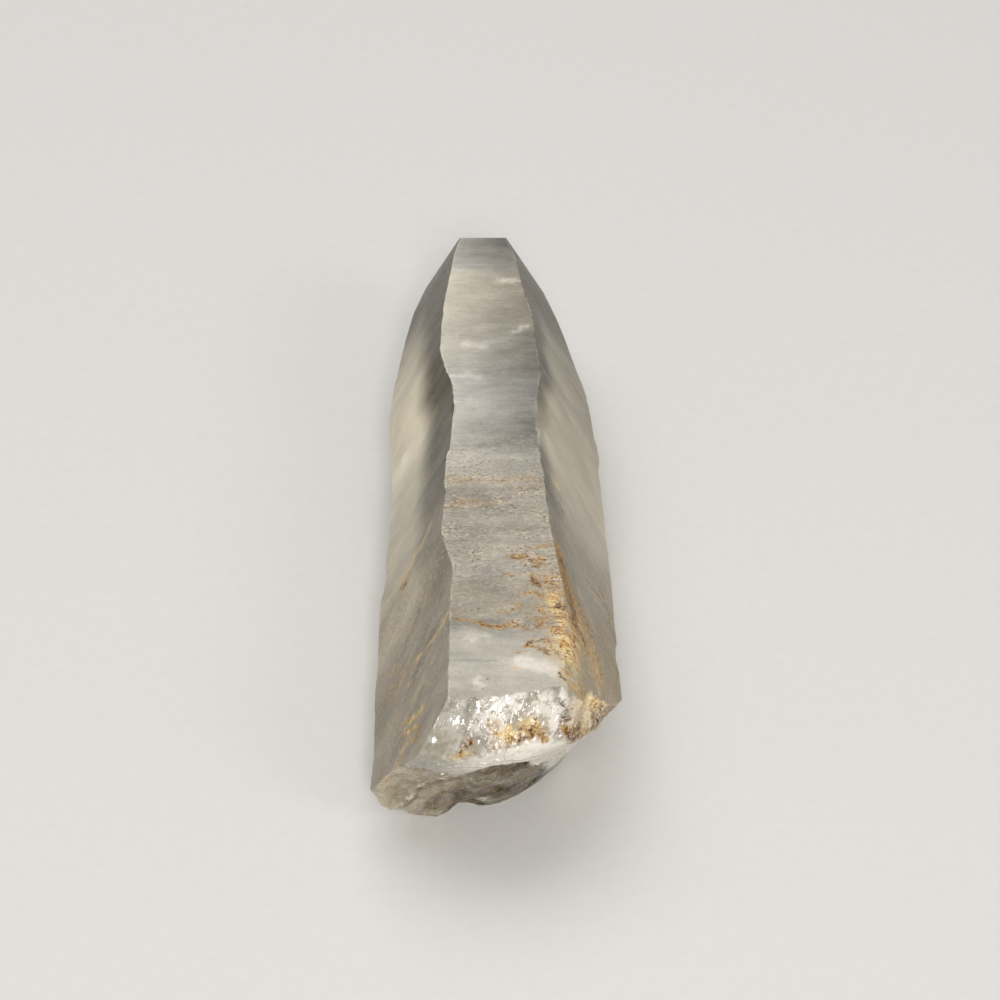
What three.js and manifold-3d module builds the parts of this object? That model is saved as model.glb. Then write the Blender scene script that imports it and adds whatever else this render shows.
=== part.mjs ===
// A rough quartz crystal, one natural piece.
//
// A six-sided prism tapers by growth steps to a six-faced point, and its foot is a fresh break.
// The crystal lies on one of its prism faces. Millimetres, +Z up; the c axis, which is the long
// way of the crystal, runs along +Y with the point at +Y. The origin is the middle of the
// crystal's box on the surface that it rests on.
//
// Below, a place along the crystal is called `along` and is measured from the upper rim of the
// break, which is the frame in which the faces are described. The last step moves the finished
// solid so that the origin is where it belongs.

import * as THREE from 'three';
import { LoftGeometry } from 'three/addons/geometries/LoftGeometry.js';
import { mergeVertices } from 'three/addons/utils/BufferGeometryUtils.js';
import Module from 'manifold-3d';

// ---------------------------------------------------------------- driving dimensions

const AXIS_HEIGHT = 8; // c axis above the resting face: half of the 16 mm between flats
const PRISM_START = -8; // the prism is grown past the break and cut back to it
const PRISM_END = 78; // and past the point
const STATION_STEP = 1; // distance between sections of the prism
const COLUMNS = 3; // strips across one prism face
const POINT_ANGLE = 38.2; // degrees from the c axis to a face of the point, a constant of quartz
const MIDDLE_ACROSS = -0.22; // middle of the finished solid's box, in the describing frame
const MIDDLE_ALONG = 34.16;

const COLOR_MILKY_QUARTZ = 0xb4aea2;
const ROUGHNESS_NATURAL_FACE = 0.4;

// The six prism faces, in the order in which they go round. `turn` is the direction of the face's
// normal, in degrees from +X towards +Z. `growth` gives the distance from the c axis to the face
// at places along the crystal. `point` is where the face of the point above it starts.
// `ledges` are single growth steps: where, how high, and how much they slant across the face.
const FACES = [
  {
    name: 'top',
    turn: 90,
    growth: [[PRISM_START, 8], [PRISM_END, 8]],
    point: { along: 64.8, offset: 8 },
    ledges: [
      { along: 3.6, rise: 0.06, slant: 0.1 },
      { along: 8.2, rise: -0.1, slant: -0.5 },
      { along: 13.9, rise: 0.07, slant: 0.1 },
      { along: 18.6, rise: -0.07, slant: 0.2 },
      { along: 21.3, rise: 0.06, slant: 0 },
      { along: 25.5, rise: -0.12, slant: 0.1 },
      { along: 30.8, rise: 0.14, slant: 0.1 },
      { along: 42.1, rise: -0.12, slant: -0.3 },
      { along: 47.4, rise: 0.08, slant: 0.5 },
    ],
  },
  {
    name: 'upper right',
    turn: 30,
    growth: [
      [PRISM_START, 8.6], [3, 8.5], [8, 8.62], [12.5, 8.44], [14.2, 8.26], [15.5, 8.07],
      [17.1, 7.91], [19.4, 7.6], [21, 7.45], [25.1, 7.27], [28.4, 7.03], [31, 7], [33, 6.83],
      [38, 6.82], [40.7, 7.07], [42, 7.19], [44.4, 7.01], [50, 6.68], [53.1, 6.22],
      [55.1, 5.88], [59.2, 5.44], [61.3, 5.14], [63.4, 4.73], [64.8, 4.4],
    ],
    point: { along: 64.9, offset: 4.45 },
    ledges: [
      { along: 14.5, rise: 0.08, slant: 0.2 },
      { along: 29.5, rise: -0.1, slant: 0.3 },
      { along: 50.5, rise: 0.1, slant: 0.2 },
    ],
  },
  {
    name: 'lower right',
    turn: -30,
    growth: [
      [PRISM_START, 8.55], [3, 8.68], [8, 8.58], [12, 8.41], [16, 8.78], [20.8, 9.19],
      [29, 9.29], [35, 9.38], [40, 8.8], [44.3, 8.2], [48.2, 7.87], [52.7, 7.15], [55.1, 6.6],
      [58.5, 5.36], [62.2, 3.85], [64.9, 2.85],
    ],
    point: { along: 64.9, offset: 2.85 },
    ledges: [
      { along: 20.5, rise: 0.1, slant: 0.2 },
      { along: 44.5, rise: -0.1, slant: 0.3 },
    ],
  },
  {
    name: 'bottom',
    turn: -90,
    growth: [[PRISM_START, 8], [PRISM_END, 8]],
    point: { along: 62.5, offset: 8 },
    ledges: [],
  },
  {
    name: 'lower left',
    turn: -150,
    growth: [
      [PRISM_START, 10.65], [1.4, 10.47], [4, 10.18], [8, 10.31], [14, 10.63], [16, 10.39],
      [19.4, 9.71], [23.4, 9.57], [29, 9.22], [33, 9.25], [40.7, 9.37], [43.5, 9.27],
      [48.2, 8.99], [50.3, 8.75], [53.2, 8.2], [58.5, 7.6], [62.5, 6.72], [65.1, 5.45],
    ],
    point: { along: 65.1, offset: 5.45 },
    ledges: [
      { along: 12.5, rise: -0.1, slant: 0.2 },
      { along: 35, rise: 0.1, slant: 0.2 },
    ],
  },
  {
    name: 'upper left',
    turn: 150,
    growth: [
      [PRISM_START, 7.4], [0, 7.46], [8, 7.47], [12, 7.34], [14.8, 7.24], [15.6, 7.28],
      [17.4, 7.68], [19.4, 8], [20.8, 8.04], [23.4, 7.92], [25.1, 7.82], [26.7, 7.9],
      [29.3, 7.83], [31, 7.78], [35.3, 7.59], [38.9, 7.56], [40.7, 7.68], [43.5, 8.23],
      [45.4, 8.56], [46.6, 8.66], [50.2, 8.67], [55.1, 8.31], [60.2, 7.85], [62.3, 7.65],
      [65.4, 7.1],
    ],
    point: { along: 65.4, offset: 7.1 },
    ledges: [
      { along: 9.5, rise: 0.08, slant: 0.2 },
      { along: 30.5, rise: -0.1, slant: 0.3 },
      { along: 52, rise: 0.08, slant: 0.2 },
    ],
  },
];
const LEDGE_WIDTH = 0.9; // how far along the crystal one ledge takes to rise

// The break. Its upper part is a bevel that leans back from the brow to the rim of the top face;
// `UNDERCUT` runs from the brow down to the resting face; `FLANK` and `SHOULDER` are the oblique
// part on the right, below and above the widest ridge.
const RIM_HEIGHT = 16;
const BROW_HEIGHT = 12;
const RIM_LINE = [ // across and along: where the bevel meets the top face
  [-9, 0.2], [-4.6, -0.4], [-3.9, -0.7], [-2.4, -0.7], [0.2, -0.4], [2.9, 0.2], [4.1, 0.75],
  [4.9, 0.55], [5.4, -0.4], [6, -0.6],
];
const BROW_LINE = [ // and where it ends at the brow
  [-9, -2.7], [-6.1, -3.1], [-3.9, -3.35], [-1, -3.4], [0.2, -3.3], [2.9, -2.55], [4.1, -2],
  [5.4, -1.15], [6.5, -0.3], [9, 2],
];
const UNDERCUT = {
  along: -3.2, lean: 0.58, middle: -2.3, curlAtBrow: 0.03, curlAtFoot: 0.1,
  leftAtFoot: -0.27, leftAbove: 0.06, leftFrom: 1, leftTo: 5,
};
const FLANK = { across: 9.84, height: 7.43, along: 8.4, leanAcross: 1.47, leanUp: -0.99 };
const SHOULDER = { across: 5.88, height: 14.73, along: 0.5, leanAcross: 2.1, leanUp: 0.3 };
const BREAK_ROUNDING = 0.35; // how softly the parts of the break run into each other
const BROW_ROUNDING = 1.2; // and how softly the bevel turns into the undercut

// A thin lip below the brow: across and height of its edge, and the hollow that runs out below.
const LIP_LINE = [
  [-9, 9.9], [-7.6, 9.9], [-6.3, 9.5], [-4.8, 8.1], [-3.5, 7.4], [-2.2, 8.8], [-0.8, 9.8],
  [0.2, 10.1], [1, 9.9], [2.2, 8.3], [3.2, 5], [4, 1], [9, 0],
];
const LIP_DEPTH = 0.5;
const LIP_EDGE = 0.3; // height over which the lip falls away
const LIP_REACH = 2.2;

const BREAK_CELL = 0.5; // size of one cell of the break's surface
const BREAK_WIDTH = 26; // the surface is a little larger than the crystal's section
const BREAK_HEIGHT = 20;
const BREAK_BLOCK_END = -12; // the block that is cut away reaches back to here

// Shell-like ripples run round the place where the foot was struck.
const STRUCK = { across: -2.9, height: -0.6 };
const RIPPLE_PITCH = 1.7;
const RIPPLE_DEPTH = 0.16;
const RIPPLE_FADE = 5;
const GRAIN_SIZE = 0.9; // the fine hackly surface of the break
const GRAIN_DEPTH = 0.16;
const GRAIN_DEPTH_SHOULDER = 0.55; // the right-hand part is much rougher

// Shell-shaped scars in the break: place, half widths across and up, and depth into the crystal.
// A knob is the same with its depth below zero, so that it stands out.
const SCARS = [
  { name: 'hollow below the brow', across: 0.9, height: 8.4, wide: 2.2, high: 1.5, depth: 0.7 },
  { name: 'middle shell', across: -4.1, height: 2.2, wide: 3.4, high: 3.9, depth: 0.5 },
  { name: 'inner shell', across: -3.7, height: 2.2, wide: 2.2, high: 3.2, depth: 0.4 },
  { name: 'left shell', across: -6.3, height: 5.4, wide: 3.2, high: 2.6, depth: 0.3 },
  { name: 'scallop', across: -3.4, height: 4.6, wide: 1.6, high: 1.2, depth: 0.35 },
  { name: 'right shell', across: 2.6, height: 4.4, wide: 3.6, high: 3.2, depth: 0.45 },
  { name: 'right scallop', across: 3.9, height: 5.6, wide: 2, high: 1.6, depth: 0.3 },
  { name: 'dimple', across: -0.6, height: 3.4, wide: 1.3, high: 1.5, depth: 0.35 },
  { name: 'struck notch', across: -3, height: 0, wide: 0.7, high: 1, depth: 1 },
  { name: 'corner knob', across: -9.6, height: 4.4, wide: 1.5, high: 2.8, depth: -1 },
  { name: 'corner chip', across: -8, height: 0.4, wide: 1.6, high: 2.2, depth: 0.75 },
  { name: 'knob by the notch', across: -4.6, height: 0.3, wide: 1.3, high: 1.7, depth: -0.8 },
  { name: 'shoulder pocket', across: 6.6, height: 12.2, wide: 1.2, high: 1.6, depth: 1.3 },
  { name: 'shoulder step', across: 7.4, height: 10.6, wide: 1.6, high: 1.8, depth: 0.6 },
  { name: 'shoulder pit', across: 8.7, height: 8.6, wide: 0.8, high: 1, depth: 0.3 },
];

// Bruised lengths of the ridges, where the sharp edge has flaked away to a narrow bevel.
// `between` gives the two faces whose ridge is bruised, `depth` how deep the bevel is.
const BRUISES = [
  { between: ['top', 'upper right'], from: 0.6, to: 8.4, depth: 0.34 },
  { between: ['upper right', 'lower right'], from: 11, to: 16, depth: 0.2 },
  { between: ['upper left', 'top'], from: 35.8, to: 38.6, depth: 0.18 },
  { between: ['lower left', 'upper left'], from: 22, to: 27, depth: 0.22 },
  { between: ['upper right', 'lower right'], from: 38.5, to: 42, depth: 0.22 },
];
const BRUISE_BLOCK = 6;
const BRUISE_STEPS = 4;
const BRUISE_TIP_RATIO = 0.35; // a bruise runs out gently at both ends

const TRIM_BLOCK = 60; // blocks that cut the faces of the point
const SCATTER = { stepI: 127.1, stepJ: 311.7, stretch: 43758.5453 }; // settings of `scatter` below

// ---------------------------------------------------------------- small helpers

const radians = THREE.MathUtils.degToRad;
const { clamp, lerp, smoothstep } = THREE.MathUtils;

// Reads a list of [place, value] pairs at any place, in straight lines between them.
function valueAt(pairs, place) {
  if (place <= pairs[0][0]) {
    return pairs[0][1];
  }
  for (let k = 1; k < pairs.length; k += 1) {
    const [here, value] = pairs[k];
    const [before, earlier] = pairs[k - 1];
    if (place <= here) {
      return lerp(earlier, value, (place - before) / (here - before));
    }
  }
  return pairs[pairs.length - 1][1];
}

// A fixed, irregular value from -1 to 1 for each pair of whole numbers: the far decimals of a
// sine, which no pattern in i and j shows through.
function scatter(i, j) {
  const wave = Math.sin(i * SCATTER.stepI + j * SCATTER.stepJ) * SCATTER.stretch;
  return 2 * (wave - Math.floor(wave)) - 1;
}

// Irregular but continuous relief over a plane, from -1 to 1, with bumps about 1 unit apart.
function grain(u, v) {
  const i = Math.floor(u);
  const j = Math.floor(v);
  const a = smoothstep(u - i, 0, 1);
  const b = smoothstep(v - j, 0, 1);
  const low = lerp(scatter(i, j), scatter(i + 1, j), a);
  const high = lerp(scatter(i, j + 1), scatter(i + 1, j + 1), a);
  return lerp(low, high, b);
}

// The greater of two values, run into each other where they differ by less than the rounding.
function softMax(a, b, rounding = BREAK_ROUNDING) {
  const overlap = Math.max(rounding - Math.abs(a - b), 0);
  return Math.max(a, b) + (overlap * overlap) / (4 * rounding);
}

// ---------------------------------------------------------------- the prism

// Distance from the c axis to a face, at a place across it (-1 to 1) and along the crystal.
function faceOffset(face, across, along) {
  let offset = valueAt(face.growth, along);
  for (const ledge of face.ledges) {
    const start = ledge.along + ledge.slant * across - LEDGE_WIDTH / 2;
    offset += ledge.rise * smoothstep(along, start, start + LEDGE_WIDTH);
  }
  return offset;
}

// Where two neighbouring faces meet, as a point [x, height above the axis] of the section.
function ridge(face, next, along) {
  const a = radians(face.turn);
  const b = radians(next.turn);
  const da = faceOffset(face, 1, along);
  const db = faceOffset(next, -1, along);
  const spread = Math.sin(b - a);
  return new THREE.Vector2(
    (da * Math.sin(b) - db * Math.sin(a)) / spread,
    (db * Math.cos(a) - da * Math.cos(b)) / spread,
  );
}

// The closed section of the prism at a place along the crystal.
function prismSection(along) {
  const points = [];
  FACES.forEach((face, i) => {
    const before = FACES[(i + FACES.length - 1) % FACES.length];
    const next = FACES[(i + 1) % FACES.length];
    const start = ridge(before, face, along);
    const end = ridge(face, next, along);
    const normal = new THREE.Vector2(Math.cos(radians(face.turn)), Math.sin(radians(face.turn)));
    for (let k = 0; k < COLUMNS; k += 1) {
      const share = k / COLUMNS;
      const across = 2 * share - 1;
      const point = start.clone().lerp(end, share);
      point.addScaledVector(normal, faceOffset(face, across, along) - point.dot(normal));
      if (k === 0) {
        point.copy(start);
      }
      points.push(new THREE.Vector3(point.x, along, AXIS_HEIGHT + point.y));
    }
  });
  return points;
}

function prismGeometry() {
  const sections = [];
  for (let along = PRISM_START; along <= PRISM_END; along += STATION_STEP) {
    sections.push(prismSection(along));
  }
  return new LoftGeometry(sections, { closed: true, capStart: true, capEnd: true });
}

// ---------------------------------------------------------------- the point

// A block whose near side is one face of the point: cutting it away leaves that face.
function pointTrim(face) {
  const turn = radians(face.turn);
  const lean = radians(POINT_ANGLE);
  const outward = new THREE.Vector3(Math.cos(turn), 0, Math.sin(turn));
  const normal = outward.clone().multiplyScalar(Math.cos(lean));
  normal.y = Math.sin(lean);
  const foot = outward.clone().multiplyScalar(face.point.offset);
  foot.y = face.point.along;
  foot.z += AXIS_HEIGHT;
  const block = new THREE.BoxGeometry(TRIM_BLOCK, TRIM_BLOCK, TRIM_BLOCK);
  block.translate(0, 0, TRIM_BLOCK / 2);
  block.applyQuaternion(
    new THREE.Quaternion().setFromUnitVectors(new THREE.Vector3(0, 0, 1), normal),
  );
  block.translate(foot.x, foot.y, foot.z);
  return block;
}

// ---------------------------------------------------------------- the break

function bevelAt(across, height) {
  const share = (RIM_HEIGHT - height) / (RIM_HEIGHT - BROW_HEIGHT);
  return lerp(valueAt(RIM_LINE, across), valueAt(BROW_LINE, across), share);
}

function undercutAt(across, height) {
  const below = BROW_HEIGHT - height;
  const aside = across - UNDERCUT.middle;
  const share = clamp(below / BROW_HEIGHT, 0, 1);
  const leftShare = smoothstep(height, UNDERCUT.leftFrom, UNDERCUT.leftTo);
  const bend = aside > 0
    ? lerp(UNDERCUT.curlAtBrow, UNDERCUT.curlAtFoot, share) * aside * aside
    : -aside * lerp(UNDERCUT.leftAtFoot, UNDERCUT.leftAbove, leftShare);
  return UNDERCUT.along + UNDERCUT.lean * below + bend;
}

function slopeAt(plane, across, height) {
  return plane.along + plane.leanAcross * (across - plane.across)
    + plane.leanUp * (height - plane.height);
}

// The hollow under the lip.
function lipAt(across, height) {
  const below = valueAt(LIP_LINE, across) - height;
  return LIP_DEPTH * smoothstep(below, 0, LIP_EDGE) * (1 - smoothstep(below, LIP_EDGE, LIP_REACH));
}

// How deep the scars lie at a place of the break: shallow bowls with a crisp rim.
function scarsAt(across, height) {
  let depth = 0;
  for (const scar of SCARS) {
    const reach = Math.hypot((across - scar.across) / scar.wide, (height - scar.height) / scar.high);
    depth += scar.depth * Math.max(1 - reach * reach, 0);
  }
  return depth;
}

// How far along the crystal the break lies, at a place across and up its section.
function breakAt(across, height) {
  const shoulder = softMax(slopeAt(FLANK, across, height), slopeAt(SHOULDER, across, height));
  const front = softMax(bevelAt(across, height), undercutAt(across, height), BROW_ROUNDING);
  const reach = Math.hypot(across - STRUCK.across, height - STRUCK.height);
  const ripple = RIPPLE_DEPTH * Math.cos((2 * Math.PI * reach) / RIPPLE_PITCH)
    * Math.exp(-reach / RIPPLE_FADE);
  const roughness = shoulder > front ? GRAIN_DEPTH_SHOULDER : GRAIN_DEPTH;
  const hackle = roughness * grain(across / GRAIN_SIZE, height / GRAIN_SIZE);
  return softMax(front, shoulder) + scarsAt(across, height) + lipAt(across, height) + ripple
    + hackle;
}

// The block that is broken away: its +Y side is the surface of the break.
function breakGeometry() {
  const columns = Math.round(BREAK_WIDTH / BREAK_CELL);
  const rows = Math.round(BREAK_HEIGHT / BREAK_CELL);
  const block = new THREE.BoxGeometry(BREAK_WIDTH, 1, BREAK_HEIGHT, columns, 1, rows);
  block.translate(0, 0, AXIS_HEIGHT);
  const places = block.getAttribute('position');
  for (let i = 0; i < places.count; i += 1) {
    const surface = places.getY(i) > 0;
    places.setY(i, surface ? breakAt(places.getX(i), places.getZ(i)) : BREAK_BLOCK_END);
  }
  return block;
}

// ---------------------------------------------------------------- bruised ridges

// A block with one side across the ridge of two faces, shaped so that it runs out at both ends.
function bruiseGeometry(bruise) {
  const [face, next] = bruise.between.map((name) => FACES.find((f) => f.name === name));
  const half = (bruise.to - bruise.from) / 2;
  const middle = (bruise.to + bruise.from) / 2;
  const turns = [face, next].map((f) => radians(f.turn));
  const outward = new THREE.Vector3(
    Math.cos(turns[0]) + Math.cos(turns[1]), 0, Math.sin(turns[0]) + Math.sin(turns[1]),
  ).normalize();
  const start = ridge(face, next, bruise.from);
  const end = ridge(face, next, bruise.to);
  const block = new THREE.BoxGeometry(
    BRUISE_BLOCK, 2 * half, BRUISE_BLOCK, 1, BRUISE_STEPS, 1,
  );
  block.translate(0, 0, BRUISE_BLOCK / 2);
  const places = block.getAttribute('position');
  for (let i = 0; i < places.count; i += 1) {
    const near = Math.abs(places.getY(i)) / half;
    const depth = lerp(bruise.depth, -bruise.depth * BRUISE_TIP_RATIO, near * near);
    places.setZ(i, places.getZ(i) - depth);
  }
  block.applyQuaternion(
    new THREE.Quaternion().setFromUnitVectors(new THREE.Vector3(0, 0, 1), outward),
  );
  const along = new THREE.Vector3(end.x - start.x, 2 * half, end.y - start.y).normalize();
  block.applyQuaternion(
    new THREE.Quaternion().setFromUnitVectors(new THREE.Vector3(0, 1, 0), along),
  );
  block.translate((start.x + end.x) / 2, middle, AXIS_HEIGHT + (start.y + end.y) / 2);
  return block;
}

// ---------------------------------------------------------------- cutting

const wasm = await Module();
wasm.setup();

function solidFrom(geometry) {
  const bare = new THREE.BufferGeometry().copy(geometry);
  bare.deleteAttribute('normal');
  bare.deleteAttribute('uv');
  const merged = mergeVertices(bare);
  return new wasm.Manifold(new wasm.Mesh({
    numProp: 3,
    vertProperties: new Float32Array(merged.getAttribute('position').array),
    triVerts: new Uint32Array(merged.getIndex().array),
  }));
}

function geometryFrom(solid) {
  const mesh = solid.getMesh();
  const geometry = new THREE.BufferGeometry();
  geometry.setAttribute('position', new THREE.BufferAttribute(mesh.vertProperties, mesh.numProp));
  geometry.setIndex(new THREE.BufferAttribute(mesh.triVerts, 1));
  geometry.computeVertexNormals();
  return geometry;
}

function crystalGeometry() {
  const cuts = [
    ...FACES.map(pointTrim),
    breakGeometry(),
    ...BRUISES.map(bruiseGeometry),
  ];
  let crystal = solidFrom(prismGeometry());
  for (const cut of cuts) {
    crystal = crystal.subtract(solidFrom(cut));
  }
  const geometry = geometryFrom(crystal);
  geometry.translate(-MIDDLE_ACROSS, -MIDDLE_ALONG, 0);
  return geometry;
}

// ---------------------------------------------------------------- the object

const milkyQuartz = new THREE.MeshStandardMaterial({
  name: 'milky_quartz',
  color: COLOR_MILKY_QUARTZ,
  roughness: ROUGHNESS_NATURAL_FACE,
  metalness: 0,
  flatShading: true,
});

const crystal = new THREE.Mesh(crystalGeometry(), milkyQuartz);
crystal.name = 'quartz_crystal';

const group = new THREE.Group();
group.add(crystal);

export default group;
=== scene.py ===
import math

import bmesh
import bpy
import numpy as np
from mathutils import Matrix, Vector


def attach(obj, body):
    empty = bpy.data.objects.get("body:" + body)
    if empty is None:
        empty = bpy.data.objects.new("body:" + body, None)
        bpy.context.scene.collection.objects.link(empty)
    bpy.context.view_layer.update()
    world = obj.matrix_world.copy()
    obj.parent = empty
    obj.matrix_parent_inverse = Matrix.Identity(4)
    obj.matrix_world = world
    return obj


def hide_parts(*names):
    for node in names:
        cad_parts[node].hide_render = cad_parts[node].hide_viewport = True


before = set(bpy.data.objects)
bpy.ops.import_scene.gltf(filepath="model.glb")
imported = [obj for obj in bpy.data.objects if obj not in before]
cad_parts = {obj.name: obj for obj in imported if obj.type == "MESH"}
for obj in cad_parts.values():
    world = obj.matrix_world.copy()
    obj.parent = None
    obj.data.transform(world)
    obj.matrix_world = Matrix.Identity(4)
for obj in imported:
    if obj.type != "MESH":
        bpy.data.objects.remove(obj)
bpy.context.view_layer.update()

# A rough quartz crystal lying on one of its prism faces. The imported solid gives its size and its
# place. This script grows the same crystal again as one fine surface, with the growth steps, worn
# ridges and hackly break of a natural one, and gives it the finish of milky quartz with iron
# stains.
#
# Lengths are millimetres. The crystal's long way, its c axis, runs along +Y. A place along it is
# called `along` and is counted from the upper rim of the break, and `across` runs along +X. The
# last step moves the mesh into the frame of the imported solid.

MILLIMETRE = 0.001

# ------------------------------------------------------------------ the crystal's sizes

AXIS_HEIGHT = 8.0  # c axis above the resting face
MIDDLE_ACROSS = -0.22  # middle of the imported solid, as this script counts
MIDDLE_ALONG = 34.16
PRISM_START = -8.0
POINT_START = 60.0  # from here on the faces of the point cut the prism
POINT_ANGLE = 38.2  # degrees from the c axis to a face of the point, a constant of quartz
LEDGE_WIDTH = 0.9  # how far along the crystal a ledge takes to rise
GROWTH_BLUR = (-0.45, -0.15, 0.15, 0.45)  # the growth table is averaged over these places

# The six prism faces in the order in which they go round. `turn` is the direction of the normal in
# degrees from +X towards +Z; `growth` is the distance from the c axis at places along the crystal;
# `point` is where the face of the point above it starts and how far from the axis that is;
# `ledges` are growth steps: where, how high, and how much they slant; `strip` is the width of one
# strip of the mesh, `steps` how strongly the face is striated, and `slant` how far along its growth
# lines run per millimetre across, from its first ridge to its last.
FACES = [
    {
        "turn": 90, "point": (64.8, 8.0), "strip": 0.2, "steps": 0.5, "slant": 0.02,
        "growth": [(PRISM_START, 8.0), (78.0, 8.0)],
        "ledges": [
            (3.6, 0.06, 0.1), (8.2, -0.1, -0.5), (13.9, 0.07, 0.1), (18.6, -0.07, 0.2),
            (21.3, 0.06, 0.0), (25.5, -0.12, 0.1), (30.8, 0.14, 0.1), (42.1, -0.12, -0.3),
            (47.4, 0.08, 0.5),
        ],
    },
    {
        "turn": 30, "point": (64.9, 4.45), "strip": 0.34, "steps": 0.9, "slant": 0.3,
        "growth": [
            (PRISM_START, 8.6), (3, 8.5), (8, 8.62), (12.5, 8.44), (14.2, 8.26), (15.5, 8.07),
            (17.1, 7.91), (19.4, 7.6), (21, 7.45), (25.1, 7.27), (28.4, 7.03), (31, 7.0),
            (33, 6.83), (38, 6.82), (40.7, 7.07), (42, 7.19), (44.4, 7.01), (50, 6.68),
            (53.1, 6.22), (55.1, 5.88), (59.2, 5.44), (61.3, 5.14), (63.4, 4.73), (64.8, 4.4),
        ],
        "ledges": [(14.5, 0.08, 0.2), (29.5, -0.1, 0.3), (50.5, 0.1, 0.2)],
    },
    {
        "turn": -30, "point": (64.9, 2.85), "strip": 0.6, "steps": 0.9, "slant": 0.3,
        "growth": [
            (PRISM_START, 8.55), (3, 8.68), (8, 8.58), (12, 8.41), (16, 8.78), (20.8, 9.19),
            (29, 9.29), (35, 9.38), (40, 8.8), (44.3, 8.2), (48.2, 7.87), (52.7, 7.15),
            (55.1, 6.6), (58.5, 5.36), (62.2, 3.85), (64.9, 2.85),
        ],
        "ledges": [(20.5, 0.1, 0.2), (44.5, -0.1, 0.3)],
    },
    {
        "turn": -90, "point": (62.5, 8.0), "strip": 1.2, "steps": 0.0, "slant": 0.0,
        "growth": [(PRISM_START, 8.0), (78.0, 8.0)],
        "ledges": [],
    },
    {
        "turn": -150, "point": (65.1, 5.45), "strip": 0.6, "steps": 0.9, "slant": -0.3,
        "growth": [
            (PRISM_START, 10.65), (1.4, 10.47), (4, 10.18), (8, 10.31), (14, 10.63),
            (16, 10.39), (19.4, 9.71), (23.4, 9.57), (29, 9.22), (33, 9.25), (40.7, 9.37),
            (43.5, 9.27), (48.2, 8.99), (50.3, 8.75), (53.2, 8.2), (58.5, 7.6), (62.5, 6.72),
            (65.1, 5.45),
        ],
        "ledges": [(12.5, -0.1, 0.2), (35, 0.1, 0.2)],
    },
    {
        "turn": 150, "point": (65.4, 7.1), "strip": 0.34, "steps": 0.9, "slant": -0.3,
        "growth": [
            (PRISM_START, 7.4), (0, 7.46), (8, 7.47), (12, 7.34), (14.8, 7.24), (15.6, 7.28),
            (17.4, 7.68), (19.4, 8.0), (20.8, 8.04), (23.4, 7.92), (25.1, 7.82), (26.7, 7.9),
            (29.3, 7.83), (31, 7.78), (35.3, 7.59), (38.9, 7.56), (40.7, 7.68), (43.5, 8.23),
            (45.4, 8.56), (46.6, 8.66), (50.2, 8.67), (55.1, 8.31), (60.2, 7.85), (62.3, 7.65),
            (65.4, 7.1),
        ],
        "ledges": [(9.5, 0.08, 0.2), (30.5, -0.1, 0.3), (52, 0.08, 0.2)],
    },
]
TOP, UPPER_RIGHT, LOWER_RIGHT, BOTTOM, LOWER_LEFT, UPPER_LEFT = range(len(FACES))

# The break: the bevel below the rim of the top face, the undercut below the brow, and the oblique
# flank and shoulder on the right.
RIM_HEIGHT = 16.0
BROW_HEIGHT = 12.0
RIM_LINE = [  # across and along: where the bevel meets the top face
    (-9.0, 0.2), (-4.6, -0.4), (-3.9, -0.7), (-2.4, -0.7), (0.2, -0.4), (2.9, 0.2), (4.1, 0.75),
    (4.9, 0.55), (5.4, -0.4), (6.0, -0.6), (9.0, -0.6),
]
BROW_LINE = [  # and where it ends at the brow
    (-9.0, -2.7), (-6.1, -3.1), (-3.9, -3.35), (-1.0, -3.4), (0.2, -3.3), (2.9, -2.55),
    (4.1, -2.0), (5.4, -1.15), (6.5, -0.3), (9.0, 2.0),
]
FROST_LINE = [  # across and height: the sparkling part of the bevel ends here, above the brow
    (-6.2, 11.0), (-4.6, 10.9), (-2.7, 11.3), (-1.9, 11.8), (0.6, 12.3), (3.5, 12.3), (4.9, 12.0),
]
# The undercut leans in by `lean` per millimetre down from the brow. To the right of its middle it
# curls back with the square of the distance. To the left it slopes, one way at the foot and the
# other way above, and the slopes change into each other between two heights.
UNDERCUT = {
    "along": -3.2, "lean": 0.58, "middle": -2.3, "curl_at_brow": 0.03, "curl_at_foot": 0.1,
    "left_at_foot": -0.27, "left_above": 0.06, "left_from": 1.0, "left_to": 5.0,
}
# Planes: a place on each, and how much further along it lies per millimetre across and up.
FLANK = {"across": 9.84, "height": 7.43, "along": 8.4, "lean_across": 1.47, "lean_up": -0.99}
SHOULDER = {"across": 5.88, "height": 14.73, "along": 0.5, "lean_across": 2.1, "lean_up": 0.3}
BREAK_ROUNDING = 0.35  # how softly the parts of the break run into each other
BROW_ROUNDING = 1.2
LIP_LINE = [  # across and height: a thin lip where the smooth brow ends
    (-9.0, 9.9), (-7.6, 9.9), (-6.3, 9.5), (-4.8, 8.1), (-3.5, 7.4), (-2.2, 8.8), (-0.8, 9.8),
    (0.2, 10.1), (1.0, 9.9), (2.2, 8.3), (3.2, 5.0), (4.0, 1.0), (9.0, 0.0),
]
LIP_DEPTH = 0.5
LIP_EDGE = 0.18  # how far down it takes to drop that deep
LIP_RAGGED = 0.15
LIP_HOLLOW = (0.2, 2.2)  # the hollow below the lip runs out between these distances down
LIP_END = (0.8, 2.8)  # and the lip itself between these places across
STRUCK = (-2.9, -0.6)  # across and height of the place where the foot was struck
RIPPLE_PITCH = 1.7  # the ripples of the fracture spread from there
RIPPLE_DEPTH = 0.16
RIPPLE_FADE = 5.0
HACKLES = 15  # fine ridges that run out from there, per radian
HACKLE_START = (1.5, 4)  # and begin at this distance from it
FIBRE_LEAN = -0.5  # how much the flakes of the bevel lean, across per millimetre up
SHOULDER_EDGE = (-0.2, 0.3)  # the rough shoulder starts where it passes the front by this much
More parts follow.
